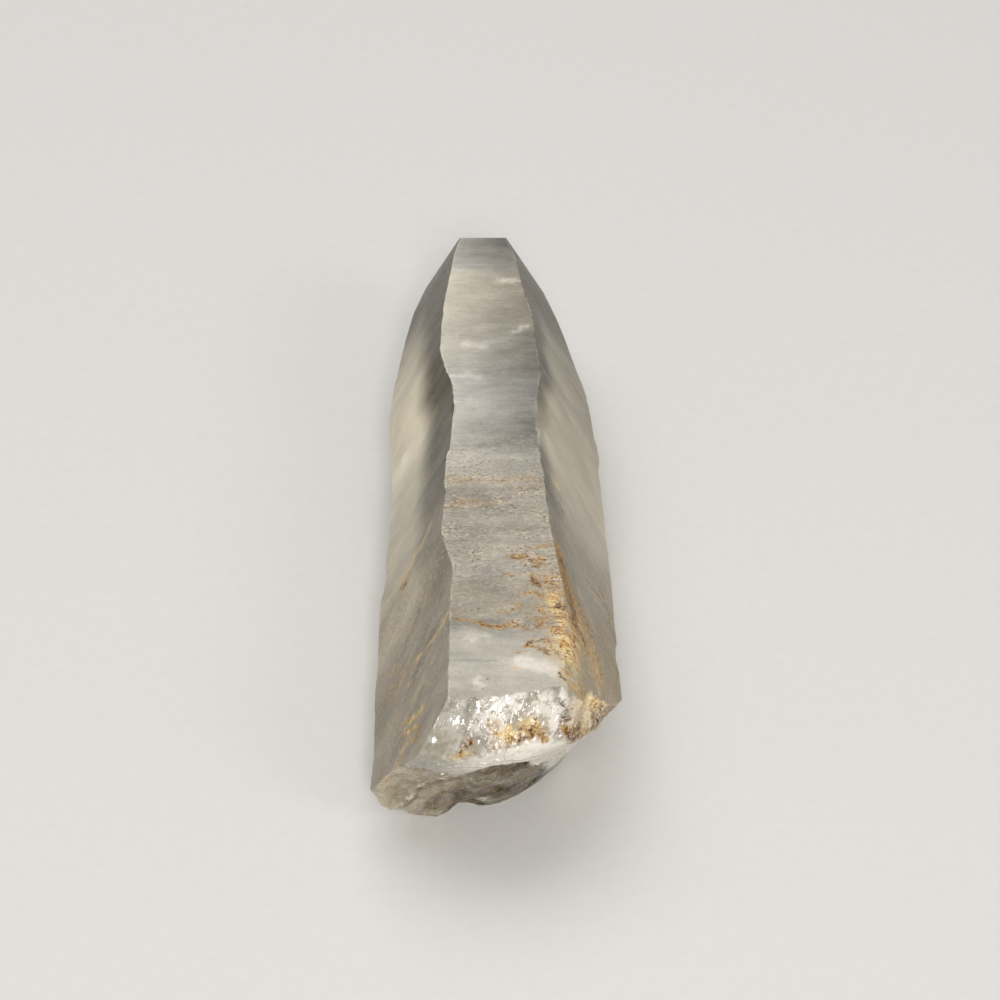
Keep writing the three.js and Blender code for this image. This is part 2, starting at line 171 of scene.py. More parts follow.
FROST_EDGE = (-0.1, 0.35)  # and the frosted bevel at this height above FROST_LINE
FROST_RAGGED = 0.25
SHOULDER_LEVEL = (8.0, 9.4)  # across: the lumps of the shoulder die out towards the outer ridge

# The chips of the break: how wide and high they are, how much they wander, where they start in the
# pattern, how steeply they are tilted, how much they stand apart, and their depth.
CHIPS = {
    "flakes": (0.36, 0.5, 1, 0, 0.5, 0.4, 0.19),  # of the bevel
    "plates": (1.1, 1.0, 1, 5, 0.6, 0.25, 0.3),  # of the bevel, larger
    "facets": (1.0, 0.8, 2, 12, 0.9, 0.25, 0.26),  # of the fracture
    "slivers": (0.3, 0.22, 1, 0, 0.5, 0.3, 0.08),  # of the fracture
    "crumbs": (0.3, 0.45, 0, 20, 0.6, 0.5, 0.14),  # of the shoulder
}
# Its rolling reliefs, and those that make strokes of stain stray: how wide and high their bumps
# are, and where they start in the pattern, so that no two are alike.
ROLLS = {
    "frost edge": (0.7, 0.5, 0, 60),
    "frost patches": (0.9, 1.3, 3, 0),
    "lumps": (0.65, 0.75, 0, 40),
    "small lumps": (0.3, 0.35, 0, 0),
    "wander": (1.3, 1.3, 0, 9),
    "swell": (1.9, 1.4, 0, 20),
    "small swell": (0.7, 0.5, 0, 30),
    "painted glints": (0.6, 0.5, 9, 0),
    "sway across": (0.7, 0.6, 11, 3),
    "sway along": (0.7, 0.6, 37, 29),
    "waver across": (0.25, 0.25, 5, 0),
    "waver along": (0.25, 0.25, 47, 0),
}
SMALL_SHARE = 0.4  # the small lumps and swells are this share of the large ones
WANDER = 0.5  # how far the chips wander, as a share of their width
FACET_PATCHES = (-0.3, 0.2)  # facets come in where the wander passes from one to the other,
SLIVER_PATCHES = (0.1, 0.35)  # and slivers likewise
SWELL_DEPTH = 0.08  # of the smooth fracture
HACKLE_DEPTH = 0.06
LUMP_DEPTH = 0.55  # of the shoulder

# Shell-shaped scars: across, height, half widths across and up, and depth. Where the depth is
# negative it is a bump.
SCARS = [
    (0.9, 8.4, 2.2, 1.5, 0.7),
    (-4.1, 2.2, 3.4, 3.9, 0.5),
    (-3.7, 2.4, 2.2, 3.0, 0.25),
    (-6.3, 5.4, 3.2, 2.6, 0.3),
    (-3.4, 4.6, 1.6, 1.2, 0.35),
    (2.6, 4.4, 3.6, 3.2, 0.45),
    (3.9, 5.6, 2.0, 1.6, 0.3),
    (-0.6, 3.4, 1.3, 1.5, 0.35),
    (-3.0, -0.2, 0.7, 1.0, 0.9),
    (-9.6, 4.4, 1.5, 2.8, -1.0),
    (-8.0, 0.4, 1.6, 2.2, 0.75),
    (-4.8, 0.2, 1.5, 1.5, -0.55),
    (6.6, 12.2, 1.2, 1.6, 1.3),
    (7.4, 10.6, 1.6, 1.8, 0.6),
    (8.7, 8.6, 0.8, 1.0, 0.3),
]

# Bruised lengths of the ridges: the face before the ridge, from and to along, and depth.
BRUISES = [
    (TOP, 0.6, 8.4, 0.34),
    (UPPER_RIGHT, 11.0, 16.0, 0.2),
    (UPPER_LEFT, 35.8, 38.6, 0.18),
    (LOWER_LEFT, 22.0, 27.0, 0.22),
    (UPPER_RIGHT, 38.5, 42.0, 0.22),
]
BRUISE_TIP_RATIO = 0.35  # how far its arc would rise past the ridge, as a share of its depth
BRUISE_RAGGED = 0.25  # and how ragged it is
# How deep the ridges are worn elsewhere: evenly, in waves, in nicks, and at least.
EVEN_WEAR = 0.026
WAVY_WEAR = 0.012
NICKED_WEAR = 0.02
LEAST_WEAR = 0.01

# ------------------------------------------------------------------ relief: small helpers

LATTICE_SIZE = 64
rng = np.random.default_rng(1047)
LATTICE = rng.uniform(-1, 1, (LATTICE_SIZE, LATTICE_SIZE))
# Shifts into the lattice, so that a chip's place, tilt and lift don't follow each other.
UP_SHIFT = (17, 31)
TILT_ACROSS_SHIFT = (41, 7)
TILT_UP_SHIFT = (23, 53)
LIFT_SHIFT = (11, 3)


def smoothstep(low, high, value):
    share = np.clip((value - low) / (high - low), 0, 1)
    return share * share * (3 - 2 * share)


def mix(a, b, share):
    return a + (b - a) * share


def line_at(line, place):
    """Reads a table of (place, value) pairs between its places."""
    return np.interp(place, *zip(*line))


def lattice_at(i, j, shift=(0, 0)):
    return LATTICE[(i + shift[0]) % LATTICE_SIZE, (j + shift[1]) % LATTICE_SIZE]


def rolling(u, v):
    """Irregular, smooth relief over a plane, from -1 to 1, with bumps about 1 unit apart."""
    i = np.floor(u).astype(int)
    j = np.floor(v).astype(int)
    a = smoothstep(0, 1, u - i)
    b = smoothstep(0, 1, v - j)
    low = mix(lattice_at(i, j), lattice_at(i + 1, j), a)
    high = mix(lattice_at(i, j + 1), lattice_at(i + 1, j + 1), a)
    return mix(low, high, b)


def rolls(kind, u, v):
    """One of the rolling reliefs of the table ROLLS."""
    wide, high, start_u, start_v = ROLLS[kind]
    return rolling(u / wide + start_u, v / high + start_v)


def chipped(u, v, tilt, lift):
    """Small flat chips about 1 unit wide, each tilted its own way, as broken quartz shows."""
    i = np.floor(u).astype(int)
    j = np.floor(v).astype(int)
    nearest = np.full(np.shape(u), np.inf)
    surface = np.zeros(np.shape(u))
    for di in (-1, 0, 1):
        for dj in (-1, 0, 1):
            ci = i + di
            cj = j + dj
            seed_u = ci + 0.5 + 0.45 * lattice_at(ci, cj)
            seed_v = cj + 0.5 + 0.45 * lattice_at(ci, cj, UP_SHIFT)
            away = np.hypot(u - seed_u, v - seed_v)
            plane = (
                tilt * lattice_at(ci, cj, TILT_ACROSS_SHIFT) * (u - seed_u)
                + tilt * lattice_at(ci, cj, TILT_UP_SHIFT) * (v - seed_v)
                + lift * lattice_at(ci, cj, LIFT_SHIFT)
            )
            closer = away < nearest
            surface = np.where(closer, plane, surface)
            nearest = np.where(closer, away, nearest)
    return surface


# ------------------------------------------------------------------ growth steps

STAIR_STEP = 0.02  # how finely a staircase is tabled
STAIR_END = 80.0
STAIR_PLACES = np.arange(PRISM_START, STAIR_END, STAIR_STEP)
RISER = 0.12  # how far along the crystal one fine step takes to rise
FACE_WIDTH = 9.4  # about how wide one face is
STAIRS = ((1.5, 0.016), (1.1, 0.013), (0.45, 0.006))  # length of a tread and height of a step
TREAD_SPREAD = (0.3, 1.9)  # the shortest and longest tread, as shares of that length
LEVEL_KEPT = 0.75  # how much of its level one tread hands on to the next
SEED_SPAN = 60  # each face reads the rolling relief from its own place within this span
BEND = 0.25  # how far a growth line bends along the crystal
WAVER = 0.08  # and wavers
SWELL = 0.035  # depth of the gentle swells of a face
STEPS_END = 5  # the fine steps die out over this length before the point starts


def staircase(tread, rise):
    """Fine growth steps along the crystal: treads of uneven length that stay near one level."""
    heights = np.zeros(len(STAIR_PLACES))
    place = PRISM_START
    level = 0.0
    while place < STAIR_END:
        length = tread * rng.uniform(*TREAD_SPREAD)
        level = LEVEL_KEPT * level + rise * rng.normal()
        heights[(STAIR_PLACES >= place) & (STAIR_PLACES < place + length)] = level
        place += length
    kernel = np.ones(round(RISER / STAIR_STEP))
    return np.convolve(heights, kernel / len(kernel), "same")


for face in FACES:
    face["stairs"] = [staircase(*stair) for stair in STAIRS]
    face["seed"] = rng.uniform(0, SEED_SPAN)


def steps_at(face, across, along):
    """Relief of the growth steps of a face, in millimetres, and their gentle swells."""
    seed = face["seed"]
    bend = BEND * rolling(1.3 * across + seed, along / 9)
    waver = WAVER * rolling(5 * across, along / 2 + seed)
    place = along + face["slant"] * across * FACE_WIDTH / 2 + (bend + waver)
    broad, narrow, fine = (np.interp(place, STAIR_PLACES, stair) for stair in face["stairs"])
    share = smoothstep(-0.5, 0.5, rolling(1.6 * across + 2 * seed, along / 7))
    swell = SWELL * rolling(1.1 * across + seed, along / 5.5 + seed)
    return face["steps"] * (mix(broad, narrow, share) + fine + swell)


def offset_at(face, across, along):
    """Distance from the c axis to a face, at a place across it (-1 to 1) and along the crystal."""
    offset = sum(line_at(face["growth"], along + shift) for shift in GROWTH_BLUR) / len(GROWTH_BLUR)
    for ledge, rise, slant in face["ledges"]:
        start = ledge + slant * across - LEDGE_WIDTH / 2
        offset = offset + rise * smoothstep(start, start + LEDGE_WIDTH, along)
    fade = 1 - smoothstep(POINT_START - STEPS_END, POINT_START, along)
    return offset + fade * steps_at(face, across, along)


# ------------------------------------------------------------------ sections of the prism

def direction(turn):
    angle = math.radians(turn)
    return np.array([math.cos(angle), math.sin(angle)])


def ridge_at(before, after, along):
    """Where two neighbouring faces meet, as [x, height above the axis]."""
    a = math.radians(before["turn"])
    b = math.radians(after["turn"])
    da = offset_at(before, np.ones_like(along), along)
    db = offset_at(after, -np.ones_like(along), along)
    spread = math.sin(b - a)
    x = (da * math.sin(b) - db * math.sin(a)) / spread
    z = (db * math.cos(a) - da * math.cos(b)) / spread
    return np.stack([x, z], -1)


def wear_at(before, along):
    """How deep the ridge after a face is worn down, in millimetres."""
    seed = FACES[before]["seed"]
    wear = EVEN_WEAR + WAVY_WEAR * rolling(along / 1.3 + seed, seed)
    wear = wear + NICKED_WEAR * rolling(along / 0.5, seed) ** 3
    for where, start, end, depth in BRUISES:
        if where == before:
            near = np.abs(along - (start + end) / 2) / ((end - start) / 2)
            ragged = BRUISE_RAGGED * depth * rolling(along / 0.6, seed + 5)
            bruise = mix(depth, -depth * BRUISE_TIP_RATIO, near * near) + ragged * (near < 1)
            wear = np.maximum(wear, bruise)
    return np.maximum(wear, LEAST_WEAR)


def face_after(index):
    return (index + 1) % len(FACES)


def prism_points(index, share, along):
    """Points of one prism face: `share` goes across it from 0 to 1, both arrays alike in shape."""
    face = FACES[index]
    start = ridge_at(FACES[index - 1], face, along)
    end = ridge_at(face, FACES[face_after(index)], along)
    normal = direction(face["turn"])
    points = mix(start, end, share[..., None])
    offset = offset_at(face, 2 * share - 1, along)
    points = points + (offset - points @ normal)[..., None] * normal
    for ridge, before in ((start, (index - 1) % len(FACES)), (end, index)):
        outward = direction(FACES[before]["turn"]) + direction(FACES[face_after(before)]["turn"])
        outward = outward / np.linalg.norm(outward)
        over = (points - ridge) @ outward + wear_at(before, along)
        points = points - np.maximum(over, 0)[..., None] * outward
    return points


def tip_points(shares, along):
    """The closed section of the point at one place along the crystal, or None past its end."""
    offsets = []
    for face in FACES:
        start, offset = face["point"]
        cut = offset - (along - start) * math.tan(math.radians(POINT_ANGLE))
        offsets.append(min(float(offset_at(face, np.zeros(1), np.array([along]))[0]), cut))
    pairs = len(FACES) // 2  # a face and the one opposite
    if min(offsets[i] + offsets[i - pairs] for i in range(pairs)) <= 0:
        return None
    spans = []
    for i, here in enumerate(offsets):
        low, high = -math.inf, math.inf
        for k in (1, 2):
            angle = math.radians(360 / len(FACES) * k)
            after = offsets[(i + k) % len(FACES)]
            before = offsets[i - k]
            high = min(high, (after - here * math.cos(angle)) / math.sin(angle))
            low = max(low, -(before - here * math.cos(angle)) / math.sin(angle))
        spans.append((low, high))
    alive = [i for i, (low, high) in enumerate(spans) if high > low]
    if len(alive) < 3:
        return None
    points = []
    for i, face_shares in enumerate(shares):
        owner = i
        while spans[owner][1] <= spans[owner][0]:
            owner -= 1
        low, high = spans[owner]
        normal = direction(FACES[owner]["turn"])
        towards = direction(FACES[owner]["turn"] - 90)
        places = mix(low, high, face_shares if owner == i else np.ones(len(face_shares)))
        points.append(offsets[owner] * normal + places[:, None] * towards)
    return np.concatenate(points)


# ------------------------------------------------------------------ the break

def soft_max(a, b, rounding=BREAK_ROUNDING):
    overlap = np.maximum(rounding - np.abs(a - b), 0)
    return np.maximum(a, b) + overlap * overlap / (4 * rounding)


def bevel_at(across, height):
    rim = line_at(RIM_LINE, across)
    brow = line_at(BROW_LINE, across)
    return mix(rim, brow, (RIM_HEIGHT - height) / (RIM_HEIGHT - BROW_HEIGHT))


def undercut_at(across, height):
    below = BROW_HEIGHT - height
    aside = across - UNDERCUT["middle"]
    share = np.clip(below / BROW_HEIGHT, 0, 1)
    left_share = smoothstep(UNDERCUT["left_from"], UNDERCUT["left_to"], height)
    right_bend = mix(UNDERCUT["curl_at_brow"], UNDERCUT["curl_at_foot"], share) * aside * aside
    left_bend = -aside * mix(UNDERCUT["left_at_foot"], UNDERCUT["left_above"], left_share)
    return UNDERCUT["along"] + UNDERCUT["lean"] * below + np.where(aside > 0, right_bend, left_bend)


def slope_at(plane, across, height):
    return (
        plane["along"]
        + plane["lean_across"] * (across - plane["across"])
        + plane["lean_up"] * (height - plane["height"])
    )


def break_zones(across, height):
    """How much a place of the break is frosted bevel, smooth fracture, and rough shoulder."""
    front = np.maximum(bevel_at(across, height), undercut_at(across, height))
    shoulder = soft_max(slope_at(FLANK, across, height), slope_at(SHOULDER, across, height))
    is_shoulder = smoothstep(*SHOULDER_EDGE, shoulder - front)
    ragged = FROST_RAGGED * rolls("frost edge", across, height)
    frost_line = line_at(FROST_LINE, across) + ragged
    is_bevel = smoothstep(*FROST_EDGE, height - frost_line) * (1 - is_shoulder)
    return is_bevel, 1 - is_bevel - is_shoulder, is_shoulder


def lumps_at(across, height):
    """The rounded lumps of the rough shoulder, from about -1, proud, to 1, hollow."""
    return rolls("lumps", across, height) + SMALL_SHARE * rolls("small lumps", across, height)


def chips(kind, across, height, wander):
    """The depth of one kind of chips at places of the break."""
    wide, high, wandering, start, tilt, lift, depth = CHIPS[kind]
    return depth * chipped(across / wide + wandering * wander, height / high + start, tilt, lift)


def break_at(across, height):
    """How far along the crystal the break lies, at a place across and up its section."""
    shoulder = soft_max(slope_at(FLANK, across, height), slope_at(SHOULDER, across, height))
    front = soft_max(bevel_at(across, height), undercut_at(across, height), BROW_ROUNDING)
    along = soft_max(front, shoulder)
    for scar_across, scar_height, wide, high, depth in SCARS:
        reach = np.hypot((across - scar_across) / wide, (height - scar_height) / high)
        along = along + depth * np.maximum(1 - reach * reach, 0)
    below = line_at(LIP_LINE, across) + LIP_RAGGED * rolling(across / 0.5, across / 3) - height
    lip = LIP_DEPTH * (1 - smoothstep(*LIP_END, across))
    along = along + lip * smoothstep(0, LIP_EDGE, below) * (1 - smoothstep(*LIP_HOLLOW, below))
    struck = np.hypot(across - STRUCK[0], height - STRUCK[1])
    ripple = np.cos(2 * math.pi * struck / RIPPLE_PITCH) * np.exp(-struck / RIPPLE_FADE)
    along = along + RIPPLE_DEPTH * ripple
    is_bevel, is_undercut, is_shoulder = break_zones(across, height)
    wander = WANDER * rolls("wander", across, height)
    spread = np.arctan2(height - STRUCK[1], across - STRUCK[0])
    hackle = rolling(HACKLES * spread, struck / 2.5) * smoothstep(*HACKLE_START, struck)
    leaning = across + FIBRE_LEAN * height
    bevel = chips("flakes", leaning, height, wander) + chips("plates", leaning, height, wander)
    swell = rolls("swell", across, height) + SMALL_SHARE * rolls("small swell", across, height)
    facets = chips("facets", across, height, wander) * smoothstep(*FACET_PATCHES, wander)
    slivers = chips("slivers", across, height, wander) * smoothstep(*SLIVER_PATCHES, wander)
    shoulder = LUMP_DEPTH * lumps_at(across, height) + chips("crumbs", across, height, wander)
    return (
        along
        + is_bevel * bevel
        + is_undercut * (SWELL_DEPTH * swell + HACKLE_DEPTH * hackle + facets)
        + is_undercut * slivers
        + is_shoulder * shoulder * (1 - smoothstep(*SHOULDER_LEVEL, across))
    )


# ------------------------------------------------------------------ the fine surface

RIDGE_STRIPS = (0.0, 0.06, 0.15, 0.32)  # distances from a ridge at which the mesh has columns
RIM_ROWS = (0.0, 0.07, 0.16, 0.28, 0.42, 0.6, 0.8)
ROW = 0.2  # distance between rows of the mesh
FAR_ROW = 0.3  # past FAR_START, where the steps are broader
FAR_START = 45.0
BLEND_END = 16.0  # the rows lean with the rim of the break, and straighten up to here
FINE_END = 1.6  # the rows up to here have twice the columns
CAP_RINGS = 78  # rings of the break, from its rim to its middle
CAP_COARSE = 0.42  # inside this share of the radius the rings have half the columns
CAP_MIDDLE = (0.3, AXIS_HEIGHT)  # across and height of the middle of the rings
TIP_ROW = 0.16
TIP_PAST = 0.05  # the surface closes this far past the last row of the point
RIM_ROUNDS = 24  # rounds in which the rim of the break is found, and how far each one goes
RIM_ROUND = 0.6


def column_shares(strip):
    near = np.array(RIDGE_STRIPS)
    count = round((FACE_WIDTH - 2 * near[-1]) / strip)
    middle = np.linspace(near[-1], FACE_WIDTH - near[-1], count + 1)
    return np.concatenate([near[:-1], middle, (FACE_WIDTH - near[:0:-1])]) / FACE_WIDTH


def halved(shares):
    """The same columns with one more between each two."""
    following = np.append(shares[1:], 1.0)
    return np.stack([shares, (shares + following) / 2], 1).ravel()


def section_points(shares, alongs):
    """Points of all six faces for rows of places along the crystal, as (row, column, xyz)."""
    parts = []
    start = 0
    for index, face_shares in enumerate(shares):
        along = alongs[:, start:start + len(face_shares)]
        share = np.broadcast_to(face_shares, along.shape)
        flat = prism_points(index, share, along)
        parts.append(np.stack([flat[..., 0], along, AXIS_HEIGHT + flat[..., 1]], -1))
        start += len(face_shares)
    return np.concatenate(parts, 1)


def rim_alongs(shares):
    """Where each column of the prism meets the break."""
    along = np.zeros((1, sum(len(face_shares) for face_shares in shares)))
    for _ in range(RIM_ROUNDS):
        points = section_points(shares, along)
        along = mix(along, break_at(points[..., 0], points[..., 2]), RIM_ROUND)
    return along[0]


class Weave:
    """Collects rings of points and the faces between them."""

    def __init__(self):
        self.points = []
        self.faces = []
        self.marks = []
        self.count = 0
        self.last = None

    def ring(self, points, marks):
        """Adds a ring; it has as many points as the one before, or half or twice as many."""
        here = np.arange(len(points)) + self.count
        self.points.append(points)
        self.marks.append(marks)
        self.count += len(points)
        if self.last is not None:
            self.join(self.last, here)
        self.last = here

    def join(self, before, here):
        """Fills the strip between two rings with quads, or with triangles where one is finer."""
        if len(before) == len(here):
            quads = np.stack([before, np.roll(before, -1), np.roll(here, -1), here], 1)
            self.faces.extend(quads.tolist())
            return
        few, many = (before, here) if len(before) < len(here) else (here, before)
        odd = many[1::2]
        even = many[0::2]
        near = [
            np.stack([few, odd, even], 1),
            np.stack([few, np.roll(few, -1), odd], 1),
            np.stack([np.roll(few, -1), np.roll(even, -1), odd], 1),
        ]
        for triangles in near:
            turned = triangles if few is before else triangles[:, ::-1]
            self.faces.extend(turned.tolist())

    def close(self, point, mark):
        """Ends the weave with one point, to which the last ring runs in."""
        self.points.append(np.array([point]))
        self.marks.append(np.array([mark]))
        fan = [[a, b, self.count] for a, b in zip(self.last, np.roll(self.last, -1))]
        self.faces.extend(fan)
        self.count += 1


# ------------------------------------------------------------------ stains and veils, painted light and shade

# Strokes on the faces, in millimetres. On the top face a place is (across, along), on the upper
# left and upper right faces it is (down from the top ridge, along), and on the break it is
# (across, height). Each stroke has its reach to both sides, its strength and the places that it
# runs through.
RUST_STROKES = {
    "top": [
        (0.26, 0.9, [
            (-3.2, 8.9), (-2.4, 8.5), (-1.6, 7.9), (-0.8, 7.5), (0.1, 7.5), (0.7, 7.9), (1.5, 7.6),
        ]),
        (0.5, 0.8, [(0.6, 8.0), (1.4, 8.3), (1.6, 7.8)]),
        (0.3, 0.7, [(0.2, 9.5), (0.9, 9.7), (1.7, 10.2), (1.2, 10.4)]),
        (0.55, 0.9, [(1.0, 16.4), (2.0, 16.3), (2.9, 16.2), (3.4, 15.8)]),
        (0.4, 0.8, [(1.9, 15.7), (2.9, 15.6), (3.2, 15.2)]),
        (0.25, 0.6, [(0.2, 14.2), (1.2, 13.9), (2.4, 14.3), (3.4, 14.0)]),
        (0.4, 0.9, [(2.6, 13.7), (3.1, 13.0)]),
        (0.2, 0.7, [(2.4, 17.7), (3.4, 17.6), (4.6, 17.9)]),
        (0.35, 1.0, [(2.0, 5.6), (2.5, 5.9), (3.1, 6.2), (3.6, 5.9)]),
        (0.35, 1.0, [(2.6, 5.5), (3.1, 5.0), (3.5, 4.6), (3.8, 4.2)]),
        (0.3, 0.8, [(3.7, 6.3), (3.9, 5.5), (4.0, 4.9)]),
        (0.25, 0.6, [(1.2, 4.6), (1.8, 4.8)]),
        (1.5, 0.7, [(4.3, 13.6), (4.6, 11.0), (4.9, 8.6), (4.9, 6.4)]),
        (0.5, 0.6, [(2.0, 7.4), (2.9, 7.8), (3.6, 8.4)]),
        (0.3, 1.0, [(4.2, 7.4), (4.5, 6.8)]),
        (0.28, 1.0, [(4.2, 5.4), (4.4, 4.4)]),
        (0.28, 1.0, [(4.9, 5.8), (5.1, 5.0)]),
        (0.3, 0.9, [(2.9, 8.5), (3.3, 8.2)]),
        (0.3, 0.8, [(1.6, 11.6), (2.6, 11.8), (3.4, 11.4)]),
        (0.25, 0.8, [(3.0, 10.0), (3.6, 9.6)]),
        (0.2, 1.0, [(4.7, 2.4), (5.1, 1.3)]),
        (0.8, 0.35, [(2.6, 9.0), (3.4, 7.6)]),
        (0.6, 0.5, [(3.6, 12.4), (4.1, 10.6), (4.2, 9.0), (4.3, 7.4)]),
        (0.4, 0.35, [(-4.4, 26.9), (-1.8, 26.7), (0.8, 27.1), (3.6, 26.9)]),
        (0.5, 0.45, [(-4.0, 23.6), (-2.6, 23.9), (-1.4, 23.5)]),
        (0.18, 1.0, [(-0.9, 1.7), (-0.8, 1.7)]),
        (0.16, 1.0, [(-1.5, 0.5), (-1.4, 0.5)]),
    ],
    "left": [
        (0.5, 0.8, [(6.2, 20.1), (6.9, 19.5)]),
        (0.28, 0.4, [(0.1, 9.9), (1.8, 8.9), (3.6, 9.0), (5.5, 9.1)]),
        (0.3, 0.45, [(5.5, 9.1), (9.7, 9.6)]),
        (0.35, 0.8, [(7.2, 3.4), (6.2, 2.9), (5.4, 2.1), (4.4, 2.2), (3.8, 1.8)]),
        (0.28, 0.8, [(7.2, 1.9), (6.5, 1.2), (5.4, 1.0), (4.6, 0.2)]),
        (0.22, 0.9, [(8.2, -0.6), (7.2, 0.7), (6.0, 0.1), (4.9, -0.6)]),
        (0.5, 0.35, [(10.6, 10.4), (9.3, 7.7)]),
        (0.5, 0.3, [(10.2, 12.2), (8.1, 10.7)]),
        (0.5, 0.3, [(8.5, 5.2), (9.3, 3.4)]),
    ],
    "right": [
        (1.4, 1.0, [(0.4, 17.8), (0.6, 15.0), (0.8, 12.8), (1.2, 11.2), (1.4, 9.8)]),
        (1.1, 1.0, [(1.4, 9.8), (2.4, 9.1), (3.2, 8.2)]),
        (1.0, 0.8, [(0.9, 9.6), (1.0, 7.0), (0.5, 4.4)]),
        (0.5, 0.8, [(1.0, 15.6), (2.0, 14.0), (3.2, 12.4), (4.4, 11.0), (5.2, 9.0), (5.6, 7.6)]),
        (1.6, 0.6, [(1.4, 14.0), (2.6, 11.6), (4.0, 9.0), (5.0, 7.0)]),
        (2.4, 0.2, [(2.8, 11.5), (3.6, 8.0), (3.2, 4.0)]),
        (1.0, 0.7, [(1.4, 1.6), (2.6, 2.6), (3.6, 2.2)]),
        (3.0, 0.25, [(7.2, 14.0), (8.2, 9.5), (6.6, 6.0)]),
        (0.4, 0.5, [(9.0, 21.5), (9.6, 18.5), (9.8, 15.0)]),
    ],
    "break": [
        (0.3, 1.0, [(-0.8, 14.5), (-0.5, 14.0), (-0.2, 13.7)]),
        (0.38, 1.0, [(0.4, 13.3), (1.2, 13.2), (1.9, 13.3), (2.4, 13.2), (2.9, 13.5), (3.4, 12.9)]),
        (0.2, 0.9, [(2.8, 14.1), (2.9, 13.5)]),
        (0.6, 0.3, [(0.0, 12.9), (1.0, 12.9)]),
        (0.4, 1.0, [(-2.5, 13.1), (-2.9, 12.5)]),
        (0.3, 0.7, [(-3.3, 12.2), (-2.4, 12.1), (-1.8, 12.2)]),
        (0.4, 0.8, [(7.4, 11.6), (7.6, 10.9), (8.0, 10.4)]),
        (0.7, 0.9, [(6.0, 10.9), (6.6, 10.1), (7.3, 9.8), (7.9, 9.2)]),
        (0.45, 1.0, [(5.2, 13.3), (5.7, 12.4), (5.7, 11.2)]),
        (0.35, 0.5, [(4.4, 6.6), (4.9, 8.0)]),
        (0.9, 0.4, [(1.2, 4.4), (3.0, 5.2), (3.9, 6.4)]),
        (0.4, 0.3, [(-9.4, 6.8), (-9.0, 5.0)]),
        (0.45, 0.4, [(-1.5, 5.0), (-0.6, 2.8)]),
    ],
}
DARK_STROKES = {
    "top": [
        (0.22, 1.0, [(2.0, 16.5), (2.1, 16.3)]),
        (0.28, 1.0, [(2.7, 13.5), (3.0, 13.1), (3.1, 12.9)]),
        (0.22, 0.9, [(2.6, 15.7), (2.9, 15.4)]),
        (0.3, 1.0, [(4.7, 10.2), (5.1, 10.0)]),
        (0.26, 0.9, [(5.3, 8.7), (5.5, 8.3)]),
        (0.14, 0.9, [(-1.8, 9.9), (-1.7, 9.9)]),
        (0.2, 0.8, [(3.5, 4.7), (3.7, 4.3)]),
        (0.2, 0.7, [(0.9, 9.9), (1.0, 9.7)]),
        (0.15, 0.9, [(4.8, 2.2), (5.2, 1.3)]),
        (0.14, 0.7, [(2.1, 5.7), (2.9, 6.1), (3.5, 5.9)]),
        (0.14, 0.6, [(2.8, 5.3), (3.6, 4.4)]),
    ],
    "left": [
        (0.25, 0.9, [(6.9, 20.2), (7.1, 19.8)]),
        (0.2, 0.8, [(6.3, 19.6), (6.5, 19.3)]),
    ],
    "right": [
        (0.3, 1.0, [(0.8, 16.6), (1.1, 16.0)]),
        (0.5, 0.8, [(0.6, 15.0), (0.7, 13.4), (1.0, 12.0)]),
        (0.55, 0.9, [(1.1, 11.4), (1.3, 10.2), (1.2, 9.4)]),
        (0.22, 0.8, [(1.9, 9.4), (2.5, 9.0), (3.1, 8.3)]),
        (0.18, 0.7, [(2.6, 13.4), (3.6, 12.0), (4.5, 11.0)]),
        (0.13, 0.8, [(6.4, 19.8), (8.3, 19.5), (10.2, 19.6)]),
    ],
    "break": [
        (0.28, 1.0, [(-2.6, 13.0), (-2.9, 12.5)]),
        (0.16, 0.8, [(2.8, 14.2), (2.9, 13.6)]),
        (0.3, 1.0, [(4.8, 14.1), (5.2, 13.9)]),
        (0.18, 0.9, [(5.4, 14.3), (5.5, 14.3)]),
        (0.25, 0.9, [(4.7, 13.6), (4.5, 13.0)]),
        (0.3, 1.0, [(5.5, 12.8), (5.65, 11.0), (5.8, 9.8)]),
        (0.28, 1.0, [(6.0, 11.2), (6.8, 10.1), (7.6, 8.9)]),
        (0.22, 0.9, [(4.6, 15.0), (4.9, 14.5)]),
        (0.28, 1.0, [(7.2, 10.7), (7.6, 10.1), (8.1, 9.6)]),
        (0.2, 0.8, [(6.5, 9.9), (7.0, 9.6)]),
        (0.25, 0.9, [(6.2, 10.9), (6.7, 9.6)]),
        (0.22, 0.9, [(1.6, 13.2), (2.2, 13.3), (2.8, 13.6)]),
    ],
}
